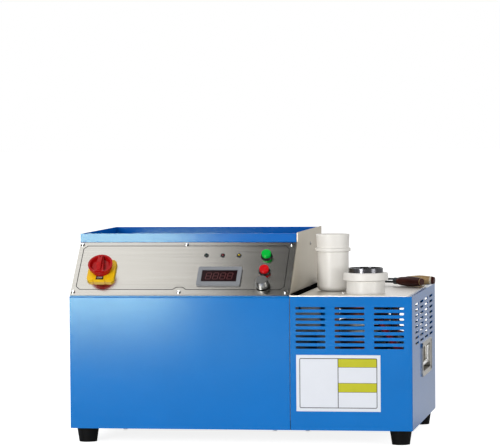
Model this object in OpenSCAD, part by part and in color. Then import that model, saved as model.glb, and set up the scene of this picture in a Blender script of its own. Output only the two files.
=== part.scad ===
// Bench-top induction furnace for melting gold. A sheet-steel cabinet holds the power unit on
// the left, under a sloped console with a tray on top, and the furnace box on the right.
// The frame is centred on the floor under the furnace: X to the right, Y to the back, Z up.

/* [Cabinet] */
// Width of the cabinet
body_w = 600; // [580:5:700]
// Depth of the cabinet
body_d = 400; // [390:5:480]
// Height of the front face and of the furnace box, above the feet
body_h = 231; // [225:1:260]
// Width of the console bay on the left
console_w = 388; // [370:1:400]
// Thickness of the painted steel sheet
sheet = 1.5; // [1:0.1:2]
// Gap at the seam between the two shells
seam = 0.6; // [0.4:0.1:1]
// Bend radius of the front right corner
corner_r = 3; // [2.5:0.5:6]
// Width of the flanges that are folded inwards
flange_w = 14; // [12:1:18]

/* [Feet] */
// Height of a rubber foot
foot_h = 26; // [20:1:32]
// Radius of a foot at the cabinet
foot_top_r = 19; // [17:0.5:22]
// Radius of a foot at the floor
foot_floor_r = 15.5; // [13:0.5:17]
// Distance from the cabinet's sides to a foot's axis
foot_in_x = 24; // [23:1:40]
// Distance from the cabinet's front and back to a foot's axis
foot_in_y = 33; // [25:1:50]

/* [Console] */
// Depth of the slope, measured along the floor
slope_run = 94; // [90:1:110]
// Rise of the slope
slope_rise = 90; // [85:1:105]
// Height of the tray's walls above its underside
lip_h = 15; // [12:1:25]
// Thickness of the stainless control panel
panel_t = 2; // [1.5:0.1:3]
// Distance from the foot of the slope to the panel's lower edge
panel_edge = 2; // [1:0.5:4]
// How far the heat shield stands proud of the panel
shield_proud = 1.5; // [0.5:0.5:3]

/* [Main switch] */
// Place of the main switch, from the left edge
switch_x = 50; // [45:1:70]
// Place of the main switch, up the slope
switch_s = 57; // [50:1:65]
// Side of the yellow switch plate
switch_plate_w = 48; // [46:1:52]
// Thickness of the yellow switch plate
switch_plate_t = 6; // [5:0.5:8]
// Diameter of the red knob
switch_knob_d = 43.6; // [40:0.2:45]
// Height of the knob's face above the panel
switch_knob_top = 22; // [20:0.5:26]
// Diameter of the switch shaft
switch_shaft_d = 8; // [6:0.5:10]

/* [Meter and lamps] */
// Middle of the power meter, from the left edge
meter_x = 260; // [250:1:270]
// Middle of the power meter, up the slope
meter_s = 46; // [44:1:50]
// Width of the meter's bezel
meter_w = 77; // [74:1:82]
// Height of the meter's bezel
meter_h = 43; // [41:1:46]
// Depth of the meter's case behind the panel
meter_depth = 45; // [35:1:50]
// First lamp, from the left edge
lamp_x = 231; // [225:1:240]
// Distance between the lamps
lamp_pitch = 29; // [24:1:32]
// Row of lamps, up the slope
lamp_s = 97.5; // [94:0.5:102]
// Diameter of a lamp's bezel
lamp_d = 8.6; // [8:0.2:11]

/* [Buttons and power knob] */
// Column of buttons, from the left edge
button_x = 338; // [325:1:345]
// Green button, up the slope
green_s = 96; // [94:0.5:100]
// Red button, up the slope
red_s = 59.5; // [57:0.5:63]
// Diameter of a button's cap
button_d = 16.4; // [15:0.2:17]
// Height of a button's cap above the panel
button_top = 9.5; // [8.5:0.5:12]
// Travel of a button
button_travel = 3.5; // [2.5:0.5:4]
// Power knob, up the slope
knob_s = 26.5; // [24:0.5:29]
// Diameter of the power knob's skirt
knob_d = 25.4; // [22:0.2:27]
// Height of the power knob above the panel
knob_top = 14; // [12:0.5:18]
// Diameter of the power knob's shaft
knob_shaft_d = 6; // [5:0.5:7]

/* [Vents] */
// Rows of slots
slot_rows = 8; // [6:1:8]
// Distance between the rows
slot_pitch = 9.7; // [8:0.1:10]
// Height of a slot
slot_h = 4.2; // [3:0.1:5]
// Length of a slot in the front
front_slot_l = 52; // [44:1:54]
// Length of a slot in the right side
side_slot_l = 55; // [45:1:60]
// Distance between the columns in the front
front_slot_step = 68; // [62:1:70]
// Distance between the columns in the side
side_slot_step = 81; // [70:1:84]
// Distance from the box's top to the middle of the first row
slot_down = 20; // [18:1:24]

/* [Side handles] */
// Length of the handle dish
dish_l = 160; // [150:1:180]
// Height of the handle dish
dish_h = 60; // [56:1:66]
// Depth of the recess
dish_depth = 17; // [16:0.5:20]
// Middle of the dish, from the front
dish_y = 235; // [220:1:245]
// Middle of the dish, above the cabinet's underside
dish_z = 109; // [100:1:112]
// Diameter of the bail's rod
bail_d = 7; // [6:0.5:8]
// Diameter of the bail's pins
bail_pin_d = 4; // [3:0.5:5]

/* [Furnace] */
// Middle of the furnace mouth, from the right side
mouth_in_x = 89; // [82:1:95]
// Middle of the furnace mouth, from the front
mouth_y = 78; // [76:1:84]
// Outer diameter of the ceramic liner
liner_d = 67; // [64:1:70]
// Height of the liner's rim above the top plate
liner_rise = 36; // [30:1:42]
// Diameter of the liner's flange
liner_flange_d = 78; // [75:1:84]
// Thickness of the liner's flange
liner_flange_t = 12.7; // [8:0.1:15]
// Height of the liner's underside above the cabinet's underside
liner_low = 122; // [115:1:130]
// Outer diameter of the graphite crucible
crucible_d = 60.5; // [58:0.5:61]
// Wall of the graphite crucible
crucible_wall = 8; // [6:0.5:10]
// How far the crucible stands out of the liner
crucible_rise = 8.5; // [5:0.5:12]
// Radius of the coil at the middle of its tube
coil_r = 42.5; // [42:0.5:44]
// Diameter of the coil's copper tube
coil_tube_d = 8; // [6:0.5:9]
// Full turns of the coil
coil_loops = 7; // [5:1:8]

/* [Spare crucible] */
// Middle of the spare crucible, from the heat shield
spare_in_x = 57; // [52:1:60]
// Distance of the spare crucible's axis from the furnace mouth's
spare_apart = 92; // [90:1:105]
// Outer diameter of the sleeve
sleeve_d = 56; // [52:1:60]
// Height of the sleeve
sleeve_h = 76; // [70:1:85]
// Diameter of the sleeve's flange
sleeve_flange_d = 63; // [61:1:67]
// Thickness of the sleeve's flange
sleeve_flange_t = 6; // [4:0.5:8]
// Wall of the sleeve and of the cup
ceramic_wall = 3; // [2.5:0.5:4]
// Diameter of the cup's rim
cup_rim_d = 59.5; // [57:0.5:61]
// How far the cup stands out of the sleeve
cup_rise = 24; // [18:1:30]

/* [Tongs] */
// Pivot of the tongs, from the heat shield
tong_in_x = 93; // [88:1:97]
// Pivot of the tongs, from the back
tong_in_y = 75; // [72:1:90]
// Direction in which the tongs lie, from the X axis
tong_turn = -21; // [-25:1:-15]
// Half of the angle between the grips as they lie
tong_half = 11; // [10:0.5:14]
// Half of that angle with the jaws closed
tong_closed = 7.5; // [7.5:0.5:9]
// Distance from the pivot to the front of a grip
grip_from = 75; // [72:1:80]
// Length of a grip
grip_l = 55; // [50:1:70]
// Diameter of a grip
grip_d = 18; // [16:0.5:18]
// Thickness of the tongs' steel
tong_t = 3.5; // [3:0.1:4]
// Inner radius of the curved jaws
jaw_r = 30; // [28:0.5:31]

/* [Fan and cable gland] */
// Side of a fan's frame
fan_w = 120; // [115:1:125]
// Depth of a fan's frame
fan_t = 25; // [25:1:32]
// Middle of the rear fan, from the left edge
fan_x = 130; // [110:1:140]
// Middle of the rear fan, above the cabinet's underside
fan_z = 120; // [105:1:130]
// Cable gland, from the left edge
gland_x = 320; // [300:1:340]
// Cable gland, above the cabinet's underside
gland_z = 45; // [40:1:60]
// Bore of the cable gland
gland_bore_d = 9; // [7:0.5:11]
// How far the gland stands out of the rear panel
gland_out = 20; // [18:1:26]

/* [Clearances] */
// Radial clearance of a shaft that turns in a bore
run_fit = 0.06; // [0.03:0.01:0.09]
// Gap under a piece that is laid on another, and between pieces that move apart
lay_gap = 0.3; // [0.2:0.05:0.4]
// Radial gap round a piece that passes through a plate
pass_gap = 0.6; // [0.4:0.1:1]
// Radial gap of a screw in its hole
screw_gap = 0.2; // [0.1:0.05:0.3]

/* [Hidden] */
$fn = 64;

// Heights above the floor
z_base = foot_h;
z_pan = z_base + sheet;
z_front = z_base + body_h;
z_top = z_front + sheet;
z_tray = z_front + slope_rise;
z_rim = z_tray + lip_h;

// The slope, with s up the slope from its foot and h outwards from it
slope_a = atan2(slope_rise, slope_run);
slope_l = norm([slope_run, slope_rise]);
back_y = body_d - sheet;
function slope_pt(s, h) = [s * cos(slope_a) - h * sin(slope_a),
  z_front + s * sin(slope_a) + h * cos(slope_a)];
under_panel = -panel_t;
under_band = -panel_t - sheet;
// Where the inner face of the lower band meets the inner face of the front wall
band_in = (sheet - (panel_t + sheet) * sin(slope_a)) / cos(slope_a);
// Where the upper band turns level under the tray, on its outer and on its inner face
tray_s = slope_l + panel_t * cos(slope_a) / sin(slope_a);
deck_s = tray_s + sheet * (cos(slope_a) - 1) / sin(slope_a);

// Places on the furnace box
mouth_x = body_w - mouth_in_x;
spare_x = console_w + spare_in_x;
spare_y = mouth_y + sqrt(pow(spare_apart, 2) - pow(mouth_x - spare_x, 2));
tong_x = console_w + tong_in_x;
tong_y = body_d - tong_in_y;
slots_x = console_w + (body_w - console_w - corner_r) / 2 - front_slot_step - 0.5;
slots_y = (body_d - 3 * side_slot_step) / 2 + 3;

// Screws of the control panel
screw_head_r = 3.7;
screw_head_h = 2.2;
screw_r = 1.5;
small_head_r = 3;
small_head_h = 1.7;
panel_screw_left = 5;
panel_screw_right = 8;
panel_screw_low = 10.2;
panel_screw_high = 6.2;
panel_screw_xs = [panel_screw_left, (panel_screw_left + console_w - panel_screw_right) / 2,
  console_w - panel_screw_right];
panel_screw_ss = [panel_screw_low, slope_l - panel_screw_high];

// The heat shield and the plate beside it
shield_x = console_w;
plate_step = 5.5;
plate_right = body_w - sheet - plate_step;
plate_hole_r = liner_d / 2 + pass_gap;

// The crucible and its liner
liner_wall_gap = 0.4;
liner_bore_r = crucible_d / 2 + liner_wall_gap;
liner_floor_t = 8;
liner_z = z_base + liner_low;
liner_top = z_top + liner_rise;
crucible_z = liner_z + liner_floor_t + lay_gap;
crucible_top = liner_top + crucible_rise;
crucible_floor_t = 12;

// The copper bars that feed the coil
bar_t = 5;
bar_w = 20;

// The coil's ends point left, at its front and its back, so it has a whole number of turns and a half
coil_turns = coil_loops + 0.5;
coil_z = liner_z + coil_tube_d / 2 + 1;
coil_top = z_front - sheet - bar_w / 2 - 3;
coil_pitch = (coil_top - coil_z) / coil_turns;
coil_lead = 62;
coil_steps = 24;
coil_sides = 6;
lead_x = mouth_x - coil_lead;

// The tongs lie on the top plate
grip_z = z_top + lay_gap + grip_d / 2;
layer_gap = 0.3;

// Overhangs, which set the frame's middle
dish_rim = 2.4;
tong_right = tong_x + (grip_from + grip_l) * cos(tong_turn + tong_half) - grip_d / 2 *
  sin(tong_turn + tong_half);
mid_x = (max(body_w + dish_rim, tong_right) - dish_rim) / 2;
mid_y = (body_d + gland_out) / 2;

module in_frame() { translate([-mid_x, -mid_y, 0]) children(); }
module on_slope(x, s, h = 0) { translate([x, slope_pt(s, h)[0], slope_pt(s, h)[1]])
  rotate([slope_a, 0, 0]) children(); }

// A plate in the plane of Y and Z, standing from x to x + t
module side_plate(x, t) {
  translate([x, 0, 0]) rotate([90, 0, 90]) linear_extrude(t) children();
}
// A plate in the plane of X and Z, from y to y + t
module front_plate(y, t) {
  translate([0, y + t, 0]) rotate([90, 0, 0]) linear_extrude(t) children();
}
// A slot with round ends, its middle at the origin
module slot_2d(l, w) {
  square([l - w, w], center = true);
  for (e = [-1, 1]) translate([e * (l - w) / 2, 0]) circle(w / 2, $fn = 20);
}
module slot_field(cols, step, l) {
  for (c = [0 : cols - 1], r = [0 : slot_rows - 1])
    translate([c * step, -r * slot_pitch]) slot_2d(l, slot_h);
}
// A rectangle with its corners cut at 45 degrees
module cut_corner_2d(w, h, c) {
  polygon([[-w/2 + c, -h/2], [w/2 - c, -h/2], [w/2, -h/2 + c], [w/2, h/2 - c],
    [w/2 - c, h/2], [-w/2 + c, h/2], [-w/2, h/2 - c], [-w/2, -h/2 + c]]);
}
// A rectangle with round corners
module round_rect_2d(w, h, r) {
  square([w - 2 * r, h], center = true);
  square([w, h - 2 * r], center = true);
  for (i = [-1, 1], j = [-1, 1]) translate([i * (w/2 - r), j * (h/2 - r)]) circle(r, $fn = 24);
}
// A pan-head screw that points down from its seat at the origin
module pan_screw(r, head_r, head_h, l) {
  difference() {
    union() {
      cylinder(r = head_r, h = head_h * 0.6);
      translate([0, 0, head_h * 0.6]) cylinder(r1 = head_r, r2 = head_r * 0.72, h = head_h * 0.4);
    }
    for (a = [0, 90]) rotate(a) translate([-head_r * 0.55, -0.4, head_h * 0.45])
      cube([head_r * 1.1, 0.8, head_h]);
  }
  translate([0, 0, -l]) cylinder(r = r, h = l, $fn = 24);
}

// A countersunk screw that points down, its face at the origin and its head as deep as the sheet
module flush_screw(r, head_h, l) {
  difference() {
    union() {
      translate([0, 0, -head_h]) cylinder(r1 = r, r2 = r + head_h, h = head_h);
      translate([0, 0, -l - head_h]) cylinder(r = r, h = l + 0.1, $fn = 24);
    }
    for (a = [0, 90]) rotate(a) translate([-r, -0.4, -head_h * 0.5]) cube([2 * r, 0.8, head_h]);
  }
}

// Cabinet

foot_places = [for (x = [foot_in_x, body_w - foot_in_x], y = [foot_in_y, body_d - foot_in_y]) [x, y]];
base_screw_y = 8;
base_screw_xs = [body_w * 0.16, console_w - 28, console_w + 29];
foot_hole_r = 2.6;
pan_flange = 16;

module base_pan() {
  w = body_w - 2 * sheet;
  d = body_d - 2 * sheet;
  bend_r = corner_r - sheet;
  color([0.30, 0.33, 0.38]) in_frame() difference() {
    translate([sheet, sheet, z_base]) difference() {
      cube([w, d, pan_flange]);
      translate([sheet, sheet, sheet]) cube([w - 2 * sheet, d - 2 * sheet, pan_flange]);
      translate([w - bend_r, bend_r, -1]) difference() {
        translate([0, -bend_r - 1, 0]) cube([bend_r + 1, bend_r + 1, pan_flange + 2]);
        cylinder(r = bend_r, h = pan_flange + 2, $fn = 48);
      }
    }
    for (p = foot_places) translate([p[0], p[1], z_base - 1])
      cylinder(r = foot_hole_r, h = sheet + 2, $fn = 24);
    for (x = base_screw_xs) translate([x, base_screw_y, z_base - 1])
      cylinder(r = screw_r + screw_gap, h = sheet + 2, $fn = 24);
  }
}

// Front wall, left wall and the two bands that carry the control panel, folded from one sheet
module control_shell() {
  low_band = [[0, z_base], [0, z_front - 1.5 * panel_t], slope_pt(0, under_panel),
    slope_pt(flange_w, under_panel), slope_pt(flange_w, under_band), slope_pt(band_in, under_band),
    [sheet, z_base]];
  tray_in = slope_pt(tray_s, under_panel)[0];
  high_band = [slope_pt(slope_l - flange_w, under_panel), [tray_in, z_tray], [tray_in + flange_w, z_tray],
    [tray_in + flange_w, z_tray - sheet], slope_pt(deck_s, under_band),
    slope_pt(slope_l - flange_w, under_band)];
  color([0.17, 0.47, 0.80]) in_frame() difference() {
    union() {
      side_plate(0, console_w - seam) polygon(low_band);
      side_plate(0, console_w - seam) polygon(high_band);
      side_plate(0, sheet) polygon([[0, z_base], [0, z_front - 1.5 * panel_t], slope_pt(0, under_panel),
        [tray_in, z_tray], [back_y, z_tray], [back_y, z_base]]);
    }
    for (x = panel_screw_xs, s = panel_screw_ss)
      on_slope(x, s, -panel_t - 3 * sheet) cylinder(r = screw_r + screw_gap, h = 5 * sheet, $fn = 24);
    translate([-1, dish_y, z_base + dish_z]) dish_opening();
  }
}

module furnace_shell() {
  side_x = body_w - corner_r;
  color([0.11, 0.46, 0.79]) in_frame() difference() {
    union() {
      translate([console_w + seam, 0, z_base]) cube([side_x - console_w - seam, sheet, body_h]);
      translate([body_w - sheet, corner_r, z_base]) cube([sheet, back_y - corner_r, body_h]);
      translate([side_x, corner_r, z_base]) difference() {
        intersection() {
          cylinder(r = corner_r, h = body_h, $fn = 48);
          translate([0, -corner_r, 0]) cube([corner_r, corner_r, body_h]);
        }
        translate([0, 0, -1]) cylinder(r = corner_r - sheet, h = body_h + 2, $fn = 48);
      }
      translate([console_w + seam, sheet, z_front - sheet])
        cube([side_x - console_w - seam, flange_w, sheet]);
      translate([body_w - sheet - flange_w, corner_r, z_front - sheet])
        cube([flange_w, back_y - corner_r, sheet]);
    }
    front_plate(-1, sheet + 2) translate([slots_x, z_front - slot_down])
      slot_field(front_cols, front_slot_step, front_slot_l);
    side_plate(body_w - sheet - 1, sheet + 2) translate([slots_y, z_front - slot_down + side_slot_up])
      slot_field(side_cols, side_slot_step, side_slot_l);
    translate([body_w - sheet - 1, dish_y, z_base + dish_z]) dish_opening();
  }
}
front_cols = 3;
side_cols = 4;
side_slot_up = 2;
rear_slot_up = 1.4;

fan_bolt = fan_w / 2 - 7.5;
fan_duct_r = fan_w / 2 - 4;
gland_thread_r = gland_bore_d / 2 + 3.5;

module rear_panel() {
  color([0.13, 0.45, 0.77]) in_frame() front_plate(back_y, sheet) difference() {
    polygon([[0, z_base], [body_w, z_base], [body_w, z_front], [console_w, z_front], [console_w, z_tray],
      [0, z_tray]]);
    translate([slots_x, z_front - slot_down + rear_slot_up])
      slot_field(front_cols, front_slot_step, front_slot_l);
    translate([fan_x, z_base + fan_z]) fan_grille_2d();
    translate([gland_x, z_base + gland_z]) circle(gland_thread_r + 0.2);
  }
}
// Rings of slots in front of the fan, with the four bolt holes
module fan_grille_2d() {
  rib = 7;
  for (k = [1 : 5]) difference() {
    circle(k * fan_duct_r / 5);
    circle(k * fan_duct_r / 5 - fan_duct_r / 5 * 0.6);
    for (a = [45, 135]) rotate(a) square([fan_w, rib], center = true);
  }
  for (i = [-1, 1], j = [-1, 1]) translate([i * fan_bolt, j * fan_bolt])
    circle(fan_screw_r + screw_gap, $fn = 24);
}

bar_window = 34;
module partition() {
  notch_y = 2 * sheet + 1;
  notch_z = z_pan + pan_flange;
  color([0.62, 0.64, 0.66]) in_frame() difference() {
    side_plate(console_w - sheet, sheet)
      polygon([[sheet, notch_z], slope_pt(band_in, under_band), slope_pt(deck_s, under_band),
        [back_y - sheet, z_tray - sheet], [back_y - sheet, notch_z], [back_y - notch_y, notch_z],
        [back_y - notch_y, z_pan], [notch_y, z_pan], [notch_y, notch_z]]);
    for (e = [-1, 1]) translate([console_w - 2 * sheet, mouth_y + e * coil_r - bar_window / 2,
      (e < 0 ? coil_z : coil_top) - bar_window / 2]) cube([3 * sheet, bar_window, bar_window]);
    translate([console_w - 2 * sheet, shield_screw_y, shield_screw_z]) rotate([0, 90, 0])
      cylinder(r = screw_r + screw_gap, h = 4 * sheet, $fn = 24);
  }
}

module top_tray() {
  color([0.15, 0.42, 0.76]) in_frame() difference() {
    translate([0, slope_run, z_tray]) cube([console_w - seam, body_d - slope_run, lip_h]);
    translate([sheet, slope_run + sheet, z_tray + sheet])
      cube([console_w - seam - 2 * sheet, body_d - slope_run - 2 * sheet, lip_h]);
    for (x = tray_screw_xs) translate([x, tray_screw_y, z_tray]) {
      translate([0, 0, -1]) cylinder(r = screw_r + screw_gap, h = 3 * sheet, $fn = 24);
      cylinder(r1 = screw_r + screw_gap, r2 = screw_r + screw_gap + sheet, h = sheet);
      translate([0, 0, sheet]) cylinder(r = screw_r + screw_gap + sheet, h = 1);
    }
  }
}

module control_panel() {
  color([0.78, 0.78, 0.77]) in_frame() difference() {
    on_slope(seam, panel_edge, -panel_t) cube([console_w - 2 * seam, slope_l - panel_edge - 1, panel_t]);
    for (x = panel_screw_xs, s = panel_screw_ss) on_slope(x, s, -2 * panel_t)
      cylinder(r = screw_r + screw_gap, h = 3 * panel_t, $fn = 24);
    on_slope(switch_x, switch_s, -2 * panel_t) cylinder(r = switch_neck_r + pass_gap, h = 3 * panel_t);
    for (k = [0 : 2]) on_slope(lamp_x + k * lamp_pitch, lamp_s, -2 * panel_t)
      cylinder(r = lamp_stem_r + pass_gap / 2, h = 3 * panel_t);
    for (s = [green_s, red_s]) on_slope(button_x, s, -2 * panel_t)
      cylinder(r = button_bush_r + pass_gap / 2, h = 3 * panel_t);
    on_slope(button_x, knob_s, -2 * panel_t) cylinder(r = pot_bush_r + pass_gap / 2, h = 3 * panel_t);
    on_slope(meter_x - meter_in_w / 2 - pass_gap, meter_s - meter_in_h / 2 - pass_gap, -2 * panel_t)
      cube([meter_in_w + 2 * pass_gap, meter_in_h + 2 * pass_gap, 3 * panel_t]);
  }
}

shield_screw_y = 248;
shield_screw_z = z_rim - 24;
plate_screw_x = mouth_x - liner_d / 2 - 6;
module heat_shield() {
  shield_top = z_rim + 1.5;
  lip_y = slope_run - shield_proud;
  slope_top_s = (lip_y + shield_proud * sin(slope_a)) / cos(slope_a);
  foot_s = shield_proud * sin(slope_a) / cos(slope_a) + 1;
  color([0.80, 0.79, 0.76]) in_frame() difference() {
    side_plate(shield_x, sheet)
      polygon([[slope_pt(foot_s, shield_proud)[0], z_top], slope_pt(foot_s, shield_proud),
      slope_pt(slope_top_s, shield_proud), [lip_y, shield_top], [body_d, shield_top], [body_d, z_top]]);
    translate([shield_x - 1, shield_screw_y, shield_screw_z]) rotate([0, 90, 0])
      cylinder(r = screw_r + screw_gap, h = 3 * sheet, $fn = 24);
  }
}
module shield_gasket() {
  color([0.06, 0.06, 0.06]) in_frame() translate([shield_x + sheet, gasket_end, z_top])
    cube([gasket_w, body_d - 2 * gasket_end, gasket_t]);
}
gasket_w = 12;
gasket_t = 3;
gasket_end = 1;

module furnace_top_plate() {
  color([0.66, 0.65, 0.62]) in_frame() difference() {
    translate([console_w, 0.4, z_front]) cube([plate_right - console_w, body_d - 0.8, sheet]);
    translate([mouth_x, mouth_y, z_front - 1]) cylinder(r = plate_hole_r, h = sheet + 2, $fn = 96);
    translate([plate_screw_x, mouth_y, z_front - 1])
      cylinder(r = screw_r + screw_gap, h = sheet + 2, $fn = 24);
  }
}

foot_well_r = 8;
foot_web_t = 6;
foot_head_h = 3.2;
module rubber_feet() {
  color([0.07, 0.07, 0.07]) in_frame() for (p = foot_places) translate([p[0], p[1], 0]) difference() {
    union() {
      cylinder(r1 = foot_floor_r, r2 = foot_top_r, h = foot_h - 3);
      translate([0, 0, foot_h - 3]) cylinder(r = foot_top_r, h = 3);
    }
    translate([0, 0, -1]) cylinder(r = foot_well_r, h = foot_h - foot_web_t + 1);
    cylinder(r = foot_hole_r, h = foot_h + 1, $fn = 24);
  }
}
module foot_screws() {
  color([0.55, 0.56, 0.58]) in_frame() for (p = foot_places)
    translate([p[0], p[1], foot_h - foot_web_t]) rotate([180, 0, 0])
      pan_screw(foot_hole_r - 0.2, foot_well_r - 2, foot_head_h, foot_web_t + sheet + 4);
}
module panel_screws() {
  color([0.85, 0.86, 0.88]) in_frame() for (x = panel_screw_xs, s = panel_screw_ss)
    on_slope(x, s) pan_screw(screw_r, screw_head_r, screw_head_h, panel_t + sheet + 2);
}

fan_screw_r = 2;
tray_screw_y = body_d - sheet - 12;
tray_screw_xs = [20, console_w - 30];
module case_screws() {
  color([0.70, 0.71, 0.73]) in_frame() {
    for (x = base_screw_xs) translate([x, base_screw_y, z_base]) rotate([180, 0, 0])
      pan_screw(screw_r, screw_head_r, screw_head_h, 5);
    translate([shield_x + sheet, shield_screw_y, shield_screw_z]) rotate([0, 90, 0])
      pan_screw(screw_r, small_head_r, small_head_h, 5);
    translate([plate_screw_x, mouth_y, z_top]) pan_screw(screw_r, small_head_r, small_head_h, 2 * sheet);
    for (x = tray_screw_xs) translate([x, tray_screw_y, z_tray + sheet])
      flush_screw(screw_r, sheet, 2 * sheet);
    for (i = [-1, 1], j = [-1, 1])
      translate([fan_x + i * fan_bolt, body_d + guard_wire, z_base + fan_z + j * fan_bolt])
      rotate([-90, 0, 0]) pan_screw(fan_screw_r, 3.6, 2.2, guard_wire + sheet + fan_t);
  }
}

// Side handles: a pressed dish in each side, with a bail that hangs in it

dish_t = 1.2;
dish_pocket_l = dish_l - 36;
dish_pocket_h = dish_h - 14;
bail_drop = 27;
bail_axis_down = 8;
bail_in = bail_d / 2 + 1.2;
lug_t = 5;
bail_half = dish_pocket_l / 2 - dish_t - lug_t - lay_gap - bail_d / 2;

module dish_opening() {
  rotate([90, 0, 90]) linear_extrude(sheet + 2)
    round_rect_2d(dish_pocket_l + 2 * pass_gap, dish_pocket_h + 2 * pass_gap, 6);
}
// The dish, with its mouth towards +X and its flange on the plane x = 0
module handle_dish() {
  difference() {
    union() {
      rotate([90, 0, 90]) linear_extrude(dish_t) round_rect_2d(dish_l, dish_h, 9);
      rotate([90, 0, 90]) linear_extrude(dish_rim) difference() {
        round_rect_2d(dish_l, dish_h, 9);
        round_rect_2d(dish_l - 6, dish_h - 6, 6);
      }
      translate([-dish_depth, 0, 0]) rotate([90, 0, 90]) linear_extrude(dish_depth)
        round_rect_2d(dish_pocket_l, dish_pocket_h, 6);
    }
    translate([-dish_depth + dish_t, 0, 0]) rotate([90, 0, 90]) linear_extrude(dish_depth + dish_rim)
      round_rect_2d(dish_pocket_l - 2 * dish_t, dish_pocket_h - 2 * dish_t, 5);
  }
  for (e = [-1, 1]) difference() {
    translate([-dish_depth + dish_t, e * (dish_pocket_l / 2 - dish_t - lug_t / 2) - lug_t / 2,
      dish_pocket_h / 2 - bail_axis_down - 6])
        cube([dish_depth - dish_t - 0.5, lug_t, 6 + bail_axis_down - dish_t]);
    translate([-bail_in, e * (dish_pocket_l / 2 - lug_t - dish_t), dish_pocket_h / 2 - bail_axis_down])
      rotate([-90 * e, 0, 0]) cylinder(r = bail_pin_d / 2 + run_fit, h = lug_t + 0.01, $fn = 48);
  }
}
// The bail in the same frame: two legs and a grip, with a pin at each upper end
module bail() {
  z_axis = dish_pocket_h / 2 - bail_axis_down;
  translate([-bail_in, 0, z_axis]) {
    for (e = [-1, 1]) {
      translate([0, e * bail_half, -bail_drop]) cylinder(r = bail_d / 2, h = bail_drop, $fn = 32);
      translate([0, e * bail_half, 0]) sphere(r = bail_d / 2, $fn = 32);
      translate([0, e * bail_half, -bail_drop]) sphere(r = bail_d / 2, $fn = 32);
      translate([0, e * bail_half, 0]) rotate([-90 * e, 0, 0])
        cylinder(r = bail_pin_d / 2, h = bail_d / 2 + lay_gap + lug_t - 0.5, $fn = 48);
    }
    translate([0, -bail_half, -bail_drop]) rotate([-90, 0, 0])
      cylinder(r = bail_d / 2, h = 2 * bail_half, $fn = 32);
  }
}
module at_right_side() { in_frame() translate([body_w, dish_y, z_base + dish_z]) children(); }
module at_left_side() { in_frame() translate([0, dish_y, z_base + dish_z]) mirror([1, 0, 0]) children(); }
module right_handle_dish() { color([0.80, 0.80, 0.79]) at_right_side() handle_dish(); }
module left_handle_dish() { color([0.80, 0.80, 0.79]) at_left_side() handle_dish(); }
module right_bail() { color([0.70, 0.70, 0.70]) at_right_side() bail(); }
module left_bail() { color([0.70, 0.70, 0.70]) at_left_side() bail(); }

// Main switch

switch_neck_r = 10;
switch_disc_t = 7;
switch_lever_h = 9;
switch_gap = 1.2;
module switch_plate() {
  color([0.98, 0.82, 0.08]) in_frame() on_slope(switch_x, switch_s) difference() {
    linear_extrude(switch_plate_t) difference() {
      cut_corner_2d(switch_plate_w, switch_plate_w, 4.5);
      for (x = [-12, 9]) translate([x - 1.3, -switch_plate_w / 2 - 1]) square([2.6, 2.2]);
    }
    translate([0, 0, -1]) cylinder(r = switch_neck_r + pass_gap, h = switch_plate_t + 2);
    translate([16, -14, switch_plate_t - 0.8]) cylinder(r = 1.4, h = 2, $fn = 24);
  }
}
module switch_legend() {
  color([0.05, 0.05, 0.05]) in_frame() on_slope(switch_x - 1, switch_s - switch_plate_w / 2 + 7,
    switch_plate_t)
    linear_extrude(0.8) polygon([[-6.5, -6], [7, -6], [6, 6], [-5.5, 6]]);
}
module switch_body() {
  color([0.20, 0.20, 0.21]) in_frame() on_slope(switch_x, switch_s, -panel_t) difference() {
    translate([0, 0, -42]) linear_extrude(42) round_rect_2d(switch_plate_w - 4, switch_plate_w - 4, 3);
    translate([0, 0, -20]) cylinder(r = switch_shaft_d / 2 + run_fit, h = 21);
    translate([0, 0, -6]) cylinder(r = switch_neck_r + pass_gap, h = 7);
  }
}
// A dished disc with a lever across it, on a neck and shaft that reach into the switch
module switch_knob() {
  lever_low = switch_knob_d / 2 - 1.5;
  lever_high = switch_knob_d / 2 - 6;
  color([0.80, 0.10, 0.09]) in_frame() on_slope(switch_x, switch_s) difference() {
    union() {
      translate([0, 0, switch_knob_top - switch_disc_t]) difference() {
        cylinder(r1 = switch_knob_d / 2 - 1.2, r2 = switch_knob_d / 2, h = switch_disc_t);
        translate([0, 0, 2]) cylinder(r1 = switch_knob_d / 2 - 7, r2 = switch_knob_d / 2 - 2.2,
          h = switch_disc_t);
      }
      translate([0, 0, switch_plate_t + switch_gap])
        cylinder(r = switch_knob_d / 2 - 5,
        h = switch_knob_top - switch_disc_t - switch_plate_t - switch_gap + 1);
      translate([0, 0, -3]) cylinder(r = switch_neck_r, h = switch_plate_t + 6);
      translate([0, 0, -18]) cylinder(r = switch_shaft_d / 2, h = 18);
      translate([0, 0, switch_knob_top - switch_disc_t + 1])
        linear_extrude(switch_disc_t - 1 + switch_lever_h * 0.4)
        polygon([[-8.5, -lever_low + 1], [8.5, -lever_low + 1], [4, lever_high], [-4, lever_high]]);
      translate([0, 0, switch_knob_top]) rotate([90, 0, 90]) translate([0, 0, -3.5]) linear_extrude(7)
        polygon([[-lever_low + 1, 0], [-lever_low + 2, switch_lever_h * 0.7], [-4, switch_lever_h],
          [lever_high - 3, switch_lever_h * 0.8], [lever_high, 0]]);
    }
    translate([0, lever_high - 6, switch_knob_top]) cylinder(r = 1.6, h = 2 * switch_lever_h, $fn = 24);
  }
}

// Meter, lamps, buttons and power knob

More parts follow.
